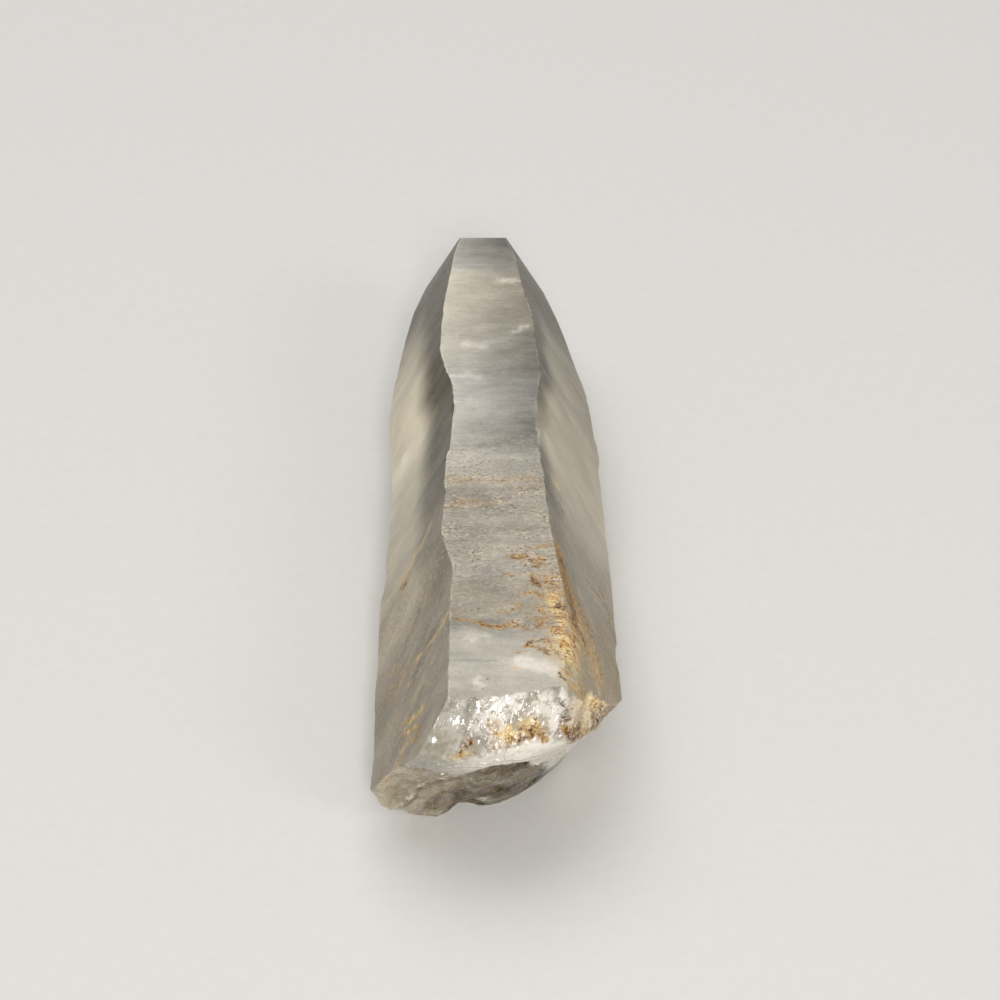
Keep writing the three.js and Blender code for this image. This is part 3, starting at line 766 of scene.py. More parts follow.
# Places where a thin golden stain lies over quartz full of cracks.
GOLD_STROKES = {
    "top": [
        (1.1, 1.0, [(4.9, 8.0), (5.2, 6.2), (5.3, 4.4), (5.4, 3.2)]),
        (0.5, 0.8, [(5.3, 3.2), (5.4, 1.2)]),
        (0.8, 0.9, [(4.1, 11.4), (4.6, 9.6)]),
        (0.6, 0.4, [(3.9, 5.6), (4.5, 4.0)]),
        (0.35, 0.6, [(1.2, 2.6), (1.3, 2.6)]),
    ],
    "left": [
        (0.3, 0.5, [(6.0, 4.6), (4.4, 5.4), (2.6, 6.4)]),
        (0.3, 0.5, [(9.2, 8.4), (7.4, 9.6), (6.0, 11.4)]),
        (0.3, 0.5, [(7.0, 13.4), (5.6, 14.4), (4.2, 15.6)]),
        (0.25, 0.5, [(3.4, 12.4), (2.2, 13.2)]),
        (0.3, 0.8, [(0.1, 9.9), (1.8, 8.9), (3.6, 9.0), (5.5, 9.1)]),
        (0.6, 0.75, [(2.4, 23.2), (3.5, 22.0), (4.7, 21.9), (6.1, 20.9), (7.3, 20.2)]),
        (0.18, 0.7, [(1.0, 10.3), (2.8, 8.3), (4.9, 6.9)]),
        (0.16, 0.6, [(3.2, 10.6), (5.6, 8.4), (7.6, 6.6)]),
        (0.2, 0.6, [(7.0, 15.0), (8.4, 13.2), (9.8, 11.6)]),
        (0.45, 0.9, [(7.2, 3.4), (6.2, 2.9), (5.4, 2.1), (4.4, 2.2)]),
        (0.35, 0.9, [(7.2, 1.9), (6.5, 1.2), (5.4, 1.0)]),
        (0.3, 0.7, [(8.2, -0.6), (7.2, 0.7), (6.0, 0.1)]),
    ],
    "right": [
        (1.7, 1.0, [(0.6, 8.8), (1.0, 6.6), (0.8, 4.2), (0.5, 2.0)]),
        (1.4, 0.35, [(2.4, 10.5), (3.6, 8.0), (4.6, 6.0)]),
        (0.3, 0.8, [(7.1, 19.0), (7.4, 18.2)]),
        (0.5, 0.6, [(4.4, 8.4), (5.2, 6.2), (5.4, 4.6)]),
        (0.3, 0.6, [(3.4, 16.0), (4.4, 14.0), (5.4, 12.6)]),
        (0.55, 1.0, [(2.4, 28.6), (2.8, 29.4)]),
    ],
    "break": [
        (0.9, 1.0, [(6.2, 14.2), (6.6, 13.2), (7.2, 12.1), (7.8, 11.3)]),
        (0.6, 1.0, [(7.2, 12.3), (7.6, 11.2)]),
        (0.7, 0.7, [(6.4, 12.0), (7.2, 10.8)]),
        (1.1, 0.5, [(5.7, 14.0), (6.3, 12.6)]),
        (0.8, 0.9, [(0.2, 13.6), (1.4, 13.8), (2.6, 13.9)]),
        (0.4, 0.8, [(-3.3, 11.8), (-2.6, 12.2)]),
    ],
}
# White haze and pale crusts, and painted highlights where noted.
WHITE_AND_HIGHLIGHT_STROKES = {
    "top": [
        (1.1, 0.42, [(1.6, 3.7), (2.6, 3.1), (4.2, 2.4)]),
        (0.9, 0.6, [(4.8, 7.6), (5.2, 5.4), (5.3, 3.6)]),
        (0.5, 0.8, [(0.8, 8.0), (1.5, 8.2)]),
        (0.7, 0.35, [(-2.5, 6.4), (-1.1, 6.7)]),
        (0.5, 0.45, [(-1.9, 1.3), (-1.5, 0.7)]),
        (0.5, 0.5, [(0.1, 57.3), (1.5, 57.3)]),
        (0.5, 0.45, [(1.2, 48.8), (2.2, 49.7)]),
        (0.6, 0.35, [(-3.0, 47.2), (-1.6, 46.6)]),
        (0.7, 0.25, [(-4.2, 42.2), (-2.0, 42.0)]),
        (1.0, 0.35, [(4.6, 8.0), (5.0, 4.0)]),
    ],
    "left": [
        # A painted glint near the outer ridge.
        (0.7, 1.0, [(8.8, 39.8), (9.1, 39.4)]),
        (0.12, 0.9, [(6.9, 4.1), (6.9, 2.1)]),
    ],
    "right": [
        (1.2, 0.6, [(0.5, 7.6), (0.8, 4.4)]),
        (0.25, 0.5, [(0.2, 32.0), (0.3, 34.5)]),
    ],
    "break": [
        (1.6, 0.8, [(3.4, 14.8), (4.2, 13.9), (4.6, 13.2)]),
        (0.8, 0.7, [(-0.8, 12.3), (1.6, 12.6), (3.6, 12.6)]),
        (0.4, 0.5, [(-4.2, 11.4), (-2.6, 11.9)]),
        (1.2, 1.0, [(5.8, 14.3), (6.0, 13.0), (6.4, 12.1), (6.9, 11.5)]),
        (1.2, 0.45, [(-1.5, 11.0), (1.0, 11.2), (4.0, 11.2)]),
        # Painted highlights: thin pale crescents along the rims of the ripples.
        (0.16, 0.5, [(-7.7, 2.6), (-7.1, 3.8), (-6.3, 4.5), (-4.9, 5.8), (-4.2, 6.5), (-2.8, 7.1)]),
        (0.14, 0.5, [(-4.6, 4.2), (-3.4, 4.7), (-2.2, 3.9), (-1.7, 3.0)]),
        (0.14, 0.5, [(-0.6, 5.2), (0.4, 5.0), (1.4, 5.6)]),
        (0.2, 0.6, [(-1.9, 1.3), (-1.2, 1.6), (-0.2, 1.1)]),
    ],
}
# Places where the crystal is clear and dark inside, and painted shade: below the lip of the brow
# and along the rims of the ripples on the break.
CLEAR_AND_SHADE_STROKES = {
    "top": [],
    "left": [
        (3.0, 0.7, [(0.5, 66.0), (3.0, 62.0), (3.4, 58.0), (1.6, 54.0)]),
        (0.5, 0.5, [(3.0, 9.9), (5.2, 7.9), (7.3, 6.2)]),
        (0.6, 0.5, [(5.4, 15.4), (7.2, 13.6), (9.4, 11.8)]),
        (0.4, 0.5, [(1.2, 14.0), (3.6, 11.8), (5.4, 10.0)]),
        (0.5, 0.45, [(4.2, 4.6), (6.0, 3.0), (7.6, 1.2)]),
    ],
    "right": [
        (0.35, 0.9, [(2.7, 27.8), (3.0, 27.2)]),
        (0.4, 0.9, [(2.6, 26.4), (3.0, 25.6)]),
        (2.8, 0.62, [(0.5, 66.0), (2.5, 62.0), (4.0, 57.0)]),
    ],
    "break": [
        # Painted shade below the lip of the brow and along the rims of the ripples.
        (1.2, 0.35, [(-0.8, 9.1), (0.2, 9.3), (1.1, 9.1), (1.8, 7.9)]),
        (0.4, 0.7, [
            (-7.5, 2.5), (-6.9, 3.4), (-6.2, 3.9), (-4.8, 5.2), (-4.1, 5.9), (-2.8, 6.6), (-1.9, 5.3),
        ]),
        (0.4, 0.8, [(-4.4, 4.9), (-2.8, 5.5), (-1.8, 3.7)]),
        (1.1, 1.0, [(-5.4, 1.6), (-4.3, 2.6), (-3.2, 2.2), (-3.9, 0.7)]),
        (0.5, 0.9, [(-0.9, 4.1), (-0.1, 2.7), (0.8, 2.3)]),
        (0.7, 0.7, [(2.4, 6.6), (3.2, 4.6), (3.6, 3.0)]),
        (0.6, 0.6, [(-7.6, 8.9), (-6.4, 8.7), (-5.0, 7.5)]),
    ],
}

# How milky the crystal is, from 0, clear and dark, to 1, cream: for the top face along its middle,
# and for the upper left and upper right faces along their upper and lower parts. On these side
# faces it is also painted shade and painted light: the upper parts, along the top ridges, are
# darker, and the lower parts, towards the outer ridges, are lighter. `change` is how far down the
# one turns into the other, and `shift` how much higher up that happens.
TOP_MILK = [
    (0, 0.65), (2, 0.67), (6, 0.61), (8, 0.46), (12, 0.46), (14, 0.55), (18, 0.56), (20, 0.5),
    (22, 0.46), (24, 0.47), (26, 0.57), (30, 0.64), (31, 0.42), (34, 0.45), (36, 0.51), (42, 0.53),
    (44, 0.43), (46, 0.52), (48, 0.44), (52, 0.52), (56, 0.54), (58.5, 0.59), (60, 0.46), (64, 0.24),
]
TOP_WARMTH = [
    (0, 0.5), (8, 0.5), (9, 0.75), (13, 0.75), (14.5, 0.5), (26, 0.6), (31, 0.4), (42, 0.25),
    (44, 0.45), (50, 0.65), (58, 0.75), (60, 0.3), (66, 0.2),
]
TOP_PAINTED_SHADE = 0.062  # painted shade, darker towards +X: the milkiness a millimetre takes away, past the places below
TOP_PAINTED_SHADE_START = (24, 34)
HIDDEN_MILK = 0.55  # of the faces below, which are even
HIDDEN_SWING = 0.1
MILK_WANDER = 0.9  # how far up and down the change on the side faces wanders
SIDE_MILK_AND_SHADING = {
    "left": {
        "upper": [(0, 0.4), (8, 0.32), (18, 0.3), (24, 0.17), (30, 0.05), (60, 0.0)],
        "lower": [
            (0, 0.38), (8, 0.3), (12, 0.38), (16, 0.55), (25, 0.68), (30, 0.68), (35, 0.78),
            (40, 0.98), (45, 0.85), (50, 0.78), (55, 0.5), (60, 0.05),
        ],
        "change": (2.4, 6.2),
        "shift": [(33, 0.0), (40, -0.8), (45, 1.7), (50, 1.1), (55, 0.0)],
    },
    "right": {
        "upper": [
            (0, 0.55), (8, 0.3), (20, 0.18), (30, 0.08), (35, 0.33), (38, 0.24), (42, 0.05),
            (60, 0.0),
        ],
        "lower": [
            (0, 0.52), (8, 0.35), (16, 0.26), (20, 0.36), (25, 0.47), (30, 0.63), (35, 0.7),
            (40, 0.62), (45, 0.46), (50, 0.46), (55, 0.26), (60, 0.0),
        ],
        "change": (0.8, 3.4),
        "shift": [(22, 0.0), (30, 0.6), (34, 1.0), (40, 0.8), (48, 0.3), (55, -1.0)],
    },
}

# On the break: the milkiness of the undercut, and of the brow above its lip, across the crystal. It
# is
# partly painted: the undercut is darker, most of all to the right, as painted shade where it faces
# down under the brow, and the brow is lighter, as painted light on its rounding.
FRACTURE_MILK_AND_SHADE = [(-9.0, 0.6), (-5.0, 0.5), (-3.0, 0.28), (-1.0, 0.15), (2.0, 0.08), (4.5, 0.0)]
BROW_MILK_AND_LIGHT = [(-9.0, 0.5), (-6.0, 0.56), (-4.0, 0.7), (-2.0, 0.88), (3.0, 1.0), (5.0, 1.0)]
BEVEL_FROST_AND_GLINTS = [(-7.0, 0.2), (-4.0, 0.3), (-2.0, 0.66), (0.0, 0.92)]  # how frosted the bevel is, with painted glints in the frost
FROST_PATCHES = (-0.35, 0.25)  # it is frosted in patches,
LEAST_FROST = 0.2  # and this much between them
NOTCH_LINE = [(5.2, 12.6), (5.8, 11.9), (6.4, 11.2), (7.0, 10.5), (8.4, 9.7)]  # rusty below this
NOTCH_EDGE = (-0.6, 0.4)
BEVEL_MILK = 0.51
SHOULDER_MILK = (0.5, 0.95)  # below the notch line and above it
SHOULDER_STAIN = (1.0, 0.3)  # the same
BEVEL_WARMTH = 0.7
FRACTURE_WARMTH = (1.0, 0.4)  # of the undercut and the brow
BROW_EDGE = (0.3, 1.5)  # how softly the one turns into the other, at the lip and past its end

# Dust is the fine pale and brown specks in the growth steps, from 0 to 1. It lies scattered: in
# full where the rolling relief passes SCATTER, and half as thick elsewhere.
SCATTER = (-0.5, 0.6)
SIDE_DUST = 0.42
SIDE_DUST_END = (18, 34)  # along: it dies out here
TOP_DUST = (0.15, 0.4)  # near the break, and past it
TOP_DUST_START = (6, 11)
TOP_DUST_END = (30, 36)
THICK_DUST_START = (13.5, 17)  # where it lies thick on the top face
THICK_DUST_END = (27, 32)
FRACTURE_DUST = 0.06

# Iron gathers in the hollows of the shoulder, and the lumps between them are frosted.
LUMP_FROST = 0.9
LUMP_FROST_END = (-0.5, 0.1)
HOLLOW_RUST = 0.8
HOLLOW_RUST_START = (-0.1, 0.5)
HOLLOW_DARK_START = (0.3, 0.7)
FRACTURE_RUST = 0.06
FRACTURE_PAINTED_GLINTS = 0.2  # painted glints of the undercut: how white it is where it would glint
PAINTED_GLINTS = (0.0, 0.5)
BROKEN_FRACTURE = 0.85  # how much of the broken kind of gloss the smooth fracture has

STROKE_CORE = 0.25  # a stroke is full up to this share of its reach
HALO_REACH = 2.2  # and has a faint halo, this many times as wide
HALO_STRENGTH = 0.35
STROKE_SWAY = 0.3  # how far a stroke strays from its line, and how far its edge wavers
STROKE_WAVER = 0.12


def stroke_amount(strokes, u, v):
    """How strongly a place is covered by the strokes and their halos, from 0 to 1."""
    amount = np.zeros(np.shape(u))
    across = STROKE_SWAY * rolls("sway across", u, v) + STROKE_WAVER * rolls("waver across", u, v)
    along = STROKE_SWAY * rolls("sway along", u, v) + STROKE_WAVER * rolls("waver along", u, v)
    u = u + across
    v = v + along
    for reach, strength, places in strokes:
        for (u0, v0), (u1, v1) in zip(places, places[1:]):
            du, dv = u1 - u0, v1 - v0
            share = np.clip(((u - u0) * du + (v - v0) * dv) / (du * du + dv * dv), 0, 1)
            away = np.hypot(u - u0 - share * du, v - v0 - share * dv)
            core = 1 - smoothstep(STROKE_CORE * reach, reach, away)
            halo = HALO_STRENGTH * (1 - smoothstep(0, HALO_REACH * reach, away))
            amount = np.maximum(amount, strength * np.maximum(core, halo))
    return amount


# Hairlines on the top face, where a growth step ends, painted as a thin line of shade on the step's
# riser: where along, and from and to across.
SHADED_HAIRLINES = [(3.6, -4.9, 0.2), (13.9, -4.7, 0.6)]
HAIRLINE_CORE = 0.03  # half its width where it is full, and where it ends
HAIRLINE_WIDTH = 0.17
HAIRLINE_STRENGTH = 0.45
HAIRLINE_TAPERS = (0.3, 0.5)  # lengths over which it starts and ends

# What the mesh carries at each of its points, for the finish: all from 0 to 1, but for `slant`,
# which is how far along the crystal, in metres, the patterns are sheared there.
MARKS = ("milk_and_shading", "warmth", "clear", "rust", "dark_rust", "gold", "frost_and_glint", "dust", "broken", "slant")
STROKES = (CLEAR_AND_SHADE_STROKES, RUST_STROKES, DARK_STROKES, GOLD_STROKES, WHITE_AND_HIGHLIGHT_STROKES)
SIDES = {TOP: "top", UPPER_LEFT: "left", UPPER_RIGHT: "right"}
HAZE = 0.5  # how much of a white place on a grown face is haze inside, and not cracks
WORN_EDGE = (0.05, 0.16)  # distances from a ridge over which its pale wear dies out
WORN_FROST_AND_HIGHLIGHT = 0.2  # how pale it is, as wear and as a painted highlight along the ridge,
WORN_SWING = 0.3  # and how much that changes along it


def face_marks(index, down, across, along):
    """The marks of places on a prism face. `down` is the distance from the face's upper ridge."""
    zero = np.zeros(np.shape(along))
    side = SIDES.get(index)
    slant = abs(FACES[index]["slant"]) * down * MILLIMETRE
    scattered = smoothstep(*SCATTER, rolling(across / 2.2 + index, along / 0.8))
    dust = SIDE_DUST * (1 - smoothstep(*SIDE_DUST_END, along)) * mix(0.5, 1.0, scattered)
    warmth = 1.0 + zero
    if side == "top":
        # Painted shade: from the middle of the crystal on, the top face darkens towards +X.
        fade = TOP_PAINTED_SHADE * across * smoothstep(*TOP_PAINTED_SHADE_START, along)
        milk_and_shading = line_at(TOP_MILK, along) - fade
        warmth = line_at(TOP_WARMTH, along)
        thick = smoothstep(*THICK_DUST_START, along) * (1 - smoothstep(*THICK_DUST_END, along))
        sparse = mix(*TOP_DUST, smoothstep(*TOP_DUST_START, along))
        dust = mix(sparse * (1 - smoothstep(*TOP_DUST_END, along)), 1.0, thick * scattered)
        slant = zero
    elif side:
        # Painted shade and painted light: darker along the upper ridge, lighter towards the lower
        # one.
        tones = SIDE_MILK_AND_SHADING[side]
        wander = MILK_WANDER * rolling(along / 3.1, zero + index)
        share = smoothstep(*tones["change"], down + (wander + line_at(tones["shift"], along)))
        milk_and_shading = mix(line_at(tones["upper"], along), line_at(tones["lower"], along), share)
    else:
        milk_and_shading = HIDDEN_MILK + HIDDEN_SWING * rolling(along / 4, zero + index)
    u = across if side == "top" else down
    strokes = (stroke_amount(table[side], u, along) if side else zero for table in STROKES)
    clear, rust, dark, gold, white_and_highlight = strokes
    if side == "top":
        # Painted shade at the risers of two growth steps.
        for place, start, end in SHADED_HAIRLINES:
            line = 1 - smoothstep(HAIRLINE_CORE, HAIRLINE_WIDTH, np.abs(along - place))
            line = line * smoothstep(start - HAIRLINE_TAPERS[0], start, u)
            line = line * (1 - smoothstep(end - HAIRLINE_TAPERS[1], end, u))
            clear = np.maximum(clear, HAIRLINE_STRENGTH * line)
    milk_and_shading = milk_and_shading + HAZE * white_and_highlight
    frost_and_glint = (1 - HAZE) * white_and_highlight
    return np.stack([milk_and_shading, warmth, clear, rust, dark, gold, frost_and_glint, dust, zero, slant], -1)


def break_marks(across, height):
    """The marks of places on the break."""
    is_bevel, is_undercut, is_shoulder = break_zones(across, height)
    strokes = (stroke_amount(table["break"], across, height) for table in STROKES)
    clear, rust, dark, gold, white_and_highlight = strokes
    soft = mix(*BROW_EDGE, smoothstep(*LIP_END, across))
    brow = smoothstep(-soft, soft, height - line_at(LIP_LINE, across))
    fracture = is_undercut * (1 - brow)
    above_notch = smoothstep(*NOTCH_EDGE, height - line_at(NOTCH_LINE, across))
    # Painted shade on the undercut and painted light on the brow, carried by the milkiness.
    milk_and_shading = (
        BEVEL_MILK * is_bevel
        + mix(line_at(FRACTURE_MILK_AND_SHADE, across), line_at(BROW_MILK_AND_LIGHT, across), brow) * is_undercut
        + mix(*SHOULDER_MILK, above_notch) * is_shoulder
    )
    warmth = BEVEL_WARMTH * is_bevel + mix(*FRACTURE_WARMTH, brow) * is_undercut + is_shoulder
    leaning = across + FIBRE_LEAN * height
    patches = smoothstep(*FROST_PATCHES, rolls("frost patches", leaning, height))
    patchy = mix(LEAST_FROST, 1.0, patches)
    # The bevel is white in patches: partly its real frosting, partly painted glints.
    frost_and_glint = np.maximum(white_and_highlight, is_bevel * patchy * line_at(BEVEL_FROST_AND_GLINTS, across))
    lumps = lumps_at(across, height)
    stained = is_shoulder * mix(*SHOULDER_STAIN, above_notch)
    frost_and_glint = np.maximum(frost_and_glint, is_shoulder * LUMP_FROST * (1 - smoothstep(*LUMP_FROST_END, lumps)))
    rust = np.maximum(rust, stained * HOLLOW_RUST * smoothstep(*HOLLOW_RUST_START, lumps))
    rust = np.maximum(rust, FRACTURE_RUST * fracture)
    dark = np.maximum(dark, stained * smoothstep(*HOLLOW_DARK_START, lumps))
    # Painted glints: white patches on the smooth fracture where it would catch the light.
    painted_glinting = smoothstep(*PAINTED_GLINTS, rolls("painted glints", across, height))
    frost_and_glint = np.maximum(frost_and_glint, FRACTURE_PAINTED_GLINTS * fracture * painted_glinting)
    zero = np.zeros(np.shape(across))
    broken = is_bevel + is_shoulder + BROKEN_FRACTURE * is_undercut
    dust = FRACTURE_DUST * is_undercut
    return np.stack([milk_and_shading, warmth, clear, rust, dark, gold, frost_and_glint, dust, broken, zero], -1)


# ------------------------------------------------------------------ weaving the surface

def side_marks(shares, points):
    """Marks for a ring or a grid of points on the six faces, from their places."""
    parts = []
    start = 0
    for index, face_shares in enumerate(shares):
        part = points[..., start:start + len(face_shares), :]
        across, along, height = part[..., 0], part[..., 1], part[..., 2]
        if index == TOP:
            down = across
        else:
            towards = direction(FACES[index]["turn"] + (-90 if index < BOTTOM else 90))
            place = across * towards[0] + height * towards[1]
            top = ridge_place(index, along) @ towards + AXIS_HEIGHT * towards[1]
            down = place - top
        marks = face_marks(index, down, across, along)
        ridge = np.minimum(face_shares, 1 - face_shares) * FACE_WIDTH
        # Pale wear along the ridges, which also serves as a painted highlight along them.
        worn = np.broadcast_to(1 - smoothstep(*WORN_EDGE, ridge), along.shape)
        worn_and_highlight = worn * (WORN_FROST_AND_HIGHLIGHT + WORN_SWING * rolling(along / 0.9, along / 5 + index))
        frost_and_glint = MARKS.index("frost_and_glint")
        marks[..., frost_and_glint] = np.maximum(marks[..., frost_and_glint], worn_and_highlight)
        parts.append(marks)
        start += len(face_shares)
    return np.concatenate(parts, -2)


def ridge_place(index, along):
    """The upper ridge of a face, as [x, height above the axis]."""
    upper = index - 1 if index < BOTTOM else index
    return ridge_at(FACES[upper], FACES[face_after(upper)], along)


def crystal_surface():
    """Points, marks and faces of the whole crystal: the break, the prism and the point."""
    coarse = [column_shares(face["strip"]) for face in FACES]
    fine = [halved(shares) for shares in coarse]
    rim = rim_alongs(fine)
    weave = Weave()

    # The break, from its middle out to the rim.
    edge = section_points(fine, rim[None])[0]
    middle = np.array(CAP_MIDDLE)
    rings = []
    for reach in 1 - np.arange(1, CAP_RINGS) / CAP_RINGS:
        ring = edge if reach > CAP_COARSE else edge[::2]
        rings.append(mix(middle, ring[:, [0, 2]], reach))
    centre = [middle[0], break_at(middle[:1], middle[1:])[0], middle[1]]
    for flat in rings[::-1]:
        points = np.stack([flat[:, 0], break_at(flat[:, 0], flat[:, 1]), flat[:, 1]], -1)
        weave.ring(points, break_marks(flat[:, 0], flat[:, 1]))
    first = len(rings[-1])

    # The prism, from the rim to where the point starts.
    rows = list(RIM_ROWS)
    while rows[-1] < POINT_START:
        rows.append(rows[-1] + (ROW if rows[-1] < FAR_START else FAR_ROW))
    for row in rows:
        shares, foot = (fine, rim) if row < FINE_END else (coarse, rim[::2])
        along = row + foot * max(1 - row / BLEND_END, 0)
        points = section_points(shares, along[None])[0]
        weave.ring(points, side_marks(shares, points))

    # The point, whose faces close in on each other.
    along = rows[-1]
    starts = sorted({face["point"][0] for face in FACES})
    while True:
        following = along + TIP_ROW
        passed = [start for start in starts if along < start < following]
        along = passed[0] if passed else following
        flat = tip_points(coarse, along)
        if flat is None:
            break
        points = np.stack([flat[:, 0], np.full(len(flat), along), AXIS_HEIGHT + flat[:, 1]], -1)
        weave.ring(points, side_marks(coarse, points))
    last = weave.points[-1]
    weave.close(last.mean(0) + np.array([0, TIP_PAST, 0]), weave.marks[-1][0])

    # The middle of the break closes the other end.
    points = np.concatenate(weave.points + [np.array([centre])])
    marks = np.concatenate(weave.marks + [break_marks(middle[:1], middle[1:])])
    faces = weave.faces + [[(k + 1) % first, k, weave.count] for k in range(first)]
    return points, marks, faces


SHARP_EDGE = math.radians(30)  # faces that meet at more than this are shaded as separate
SAME_PLACE = 2e-6  # metres; faces of the point that have closed run together in one place


def build_crystal(name):
    """The crystal as one piece, in metres and in its place."""
    points, marks, faces = crystal_surface()
    places = (points - np.array([MIDDLE_ACROSS, MIDDLE_ALONG, 0])) * MILLIMETRE
    mesh = bpy.data.meshes.new(name)
    mesh.from_pydata(places.tolist(), [], faces)
    for k, mark in enumerate(MARKS):
        layer = mesh.attributes.new(mark, "FLOAT", "POINT")
        layer.data.foreach_set("value", np.ascontiguousarray(marks[:, k], np.float32))
    work = bmesh.new()
    work.from_mesh(mesh)
    bmesh.ops.remove_doubles(work, verts=work.verts, dist=SAME_PLACE)
    work.to_mesh(mesh)
    work.free()
    mesh.shade_smooth()
    mesh.set_sharp_from_angle(angle=SHARP_EDGE)
    piece = bpy.data.objects.new(name, mesh)
    bpy.context.scene.collection.objects.link(piece)
    return piece


# ------------------------------------------------------------------ finishes: how they are made

def colour(code):
    """An sRGB hex colour such as "c0ffee" as linear red, green, blue and alpha."""
    values = [int(code[k:k + 2], 16) / 255 for k in (0, 2, 4)]
    return [v / 12.92 if v <= 0.04045 else ((v + 0.055) / 1.055) ** 2.4 for v in values] + [1.0]


def add(tree, kind, inputs=None, output=0, **settings):
    """Adds a node with its settings and links, and gives one of its outputs.

    An input is a value, or the output of another node that is linked to it.
    """
    node = tree.nodes.new(kind)
    for name, value in settings.items():
        setattr(node, name, value)
    for name, value in (inputs or {}).items():
        if isinstance(value, bpy.types.NodeSocket):
            tree.links.new(value, node.inputs[name])
        else:
            node.inputs[name].default_value = value
    return node.outputs[output] if node.outputs else None


# Sockets of a Mix node that mixes colours.
FIRST, SECOND, MIXED = 6, 7, 2

# Nearly all values of a noise pattern lie between these two.
PATTERN_LOW, PATTERN_HIGH = 0.3, 0.7

# The body of the quartz, where its faces are greyish and where they are warm: the first colour is
# clear quartz with its dark inside, the second is full of bubbles. Where the milkiness carries
# painted shade and painted light, the first colour also serves as painted shade and the second as
# painted light.
COOL_BODY = ("605f5b", "eeebe5")
WARM_BODY = ("62553a", "f1e6cc")
INSIDE_COLOUR = "d6d0bb"
INSIDE_DENSITY = 55.0  # per metre: 15 mm of clear quartz take a quarter to a third of the light
QUARTZ_IOR = 1.544
SATIN_ROUGHNESS = 0.38  # of the grown faces, with their fine striations
VITREOUS_ROUGHNESS = 0.16  # of the break
ROUGHNESS_SWING = 0.1
RUST_DULLS = 0.22
THROUGH = (0.5, 0.12)  # how much light goes through where it is clear and where it is milky
COVER_FULL = 0.7  # a crust this strong hides what is below it,
COVER_LEAVES = 0.15  # but for this share
GLOW = 0.4  # how much of the light comes back out from inside
GLOW_REACH = 0.9  # and from how far
GLOW_COLOURS = [1.0, 0.95, 0.85]  # red comes from furthest away, so the glow is a little warm
RELIEF_DEPTH = 0.05
RELIEF_STRENGTH = 0.5
STRIAE_RELIEF = (0.4, 0.1)  # on the grown faces and on the break
GRIT_RELIEF = (0.45, 0.7)

# The patterns in the quartz: how large their patches are across and along the crystal, in
# millimetres, and the detail, roughness and distortion of the noise that draws them.
PATTERNS = {
    "veils": (5.0, 3.2, 4.0, 0.55, 0.4),  # clouds of bubbles
    "wisps": (1.8, 0.8, 3.0, 0.6, 0.6),  # thin trails of them
    "bands": (11.0, 1.1, 3.0, 0.5, 0.0),  # growth zones, across the c axis
    "striae": (4.5, 0.24, 2.0, 0.5, 0.2),  # striations; drawn coarser than the real 0.05 mm ones
    "grain": (0.32, 0.3, 2.0, 0.6, 0.3),  # single bubbles and pits; drawn coarser than real too
    "fleck": (0.36, 0.2, 1.0, 0.5, 0.2),  # pale crusts, longest across the crystal
    "grit": (0.27, 0.22, 2.0, 0.6, 0.3),  # specks of rust and dirt
    "blots": (1.5, 0.9, 5.0, 0.65, 0.6),  # flows of rust
    "flakes": (1.0, 0.7, 3.0, 0.6, 0.3),  # frosted flakes of the break
}

# What clouds the quartz: the pattern and how far it moves the milkiness.
CLOUDS = (("veils", 0.09), ("wisps", 0.06), ("bands", 0.035), ("striae", 0.022), ("grain", 0.05))

# What lies on or in the quartz, from the lowest layer to the highest: its mark, the pattern that
# breaks it up, the pattern's values at which it starts and is full, its strength and its colour.
# The frost, dust, rust and gold are thin crusts and cracks, so they are colours on the body; the
# frost also carries painted glints and highlights, and the clear layer painted shade.
LAYERS = (
    ("clear", "wisps", 0.36, 0.52, 0.85, "413a28"),  # clear places, with the dark inside showing, and painted shade
    ("frost_and_glint", "flakes", 0.44, 0.52, 0.9, "faf4ea"),  # frosted flakes, white with tiny cracks, and painted glints
    ("frost_and_glint", "grain", 0.52, 0.6, 0.45, "fdfaf4"),  # and single cracks between them, also painted glints
    ("dust", "fleck", 0.535, 0.6, 0.85, "f1dfc0"),  # pale crusts in the growth steps
    ("dust", "blots", 0.52, 0.62, 0.3, "b3935f"),  # a faint rusty tint
    ("dust", "grit", 0.585, 0.64, 0.75, "564530"),  # brown specks
    ("rust", "blots", 0.34, 0.54, 0.95, "b3862a"),  # ochre wash
    ("rust", "striae", 0.48, 0.62, 0.35, "84560f"),  # the wash is stronger along the striations
    ("gold", "flakes", 0.36, 0.52, 0.9, "f5d99c"),  # golden stain
    ("gold", "wisps", 0.52, 0.62, 0.7, "c4842a"),  # and deeper in its cracks
    ("rust", "fleck", 0.57, 0.63, 0.4, "e3c272"),  # golden crusts
    ("rust", "grit", 0.51, 0.59, 0.95, "6e390a"),  # rust
    ("dark_rust", "grit", 0.36, 0.52, 0.95, "53290a"),  # dark crusts of goethite
)


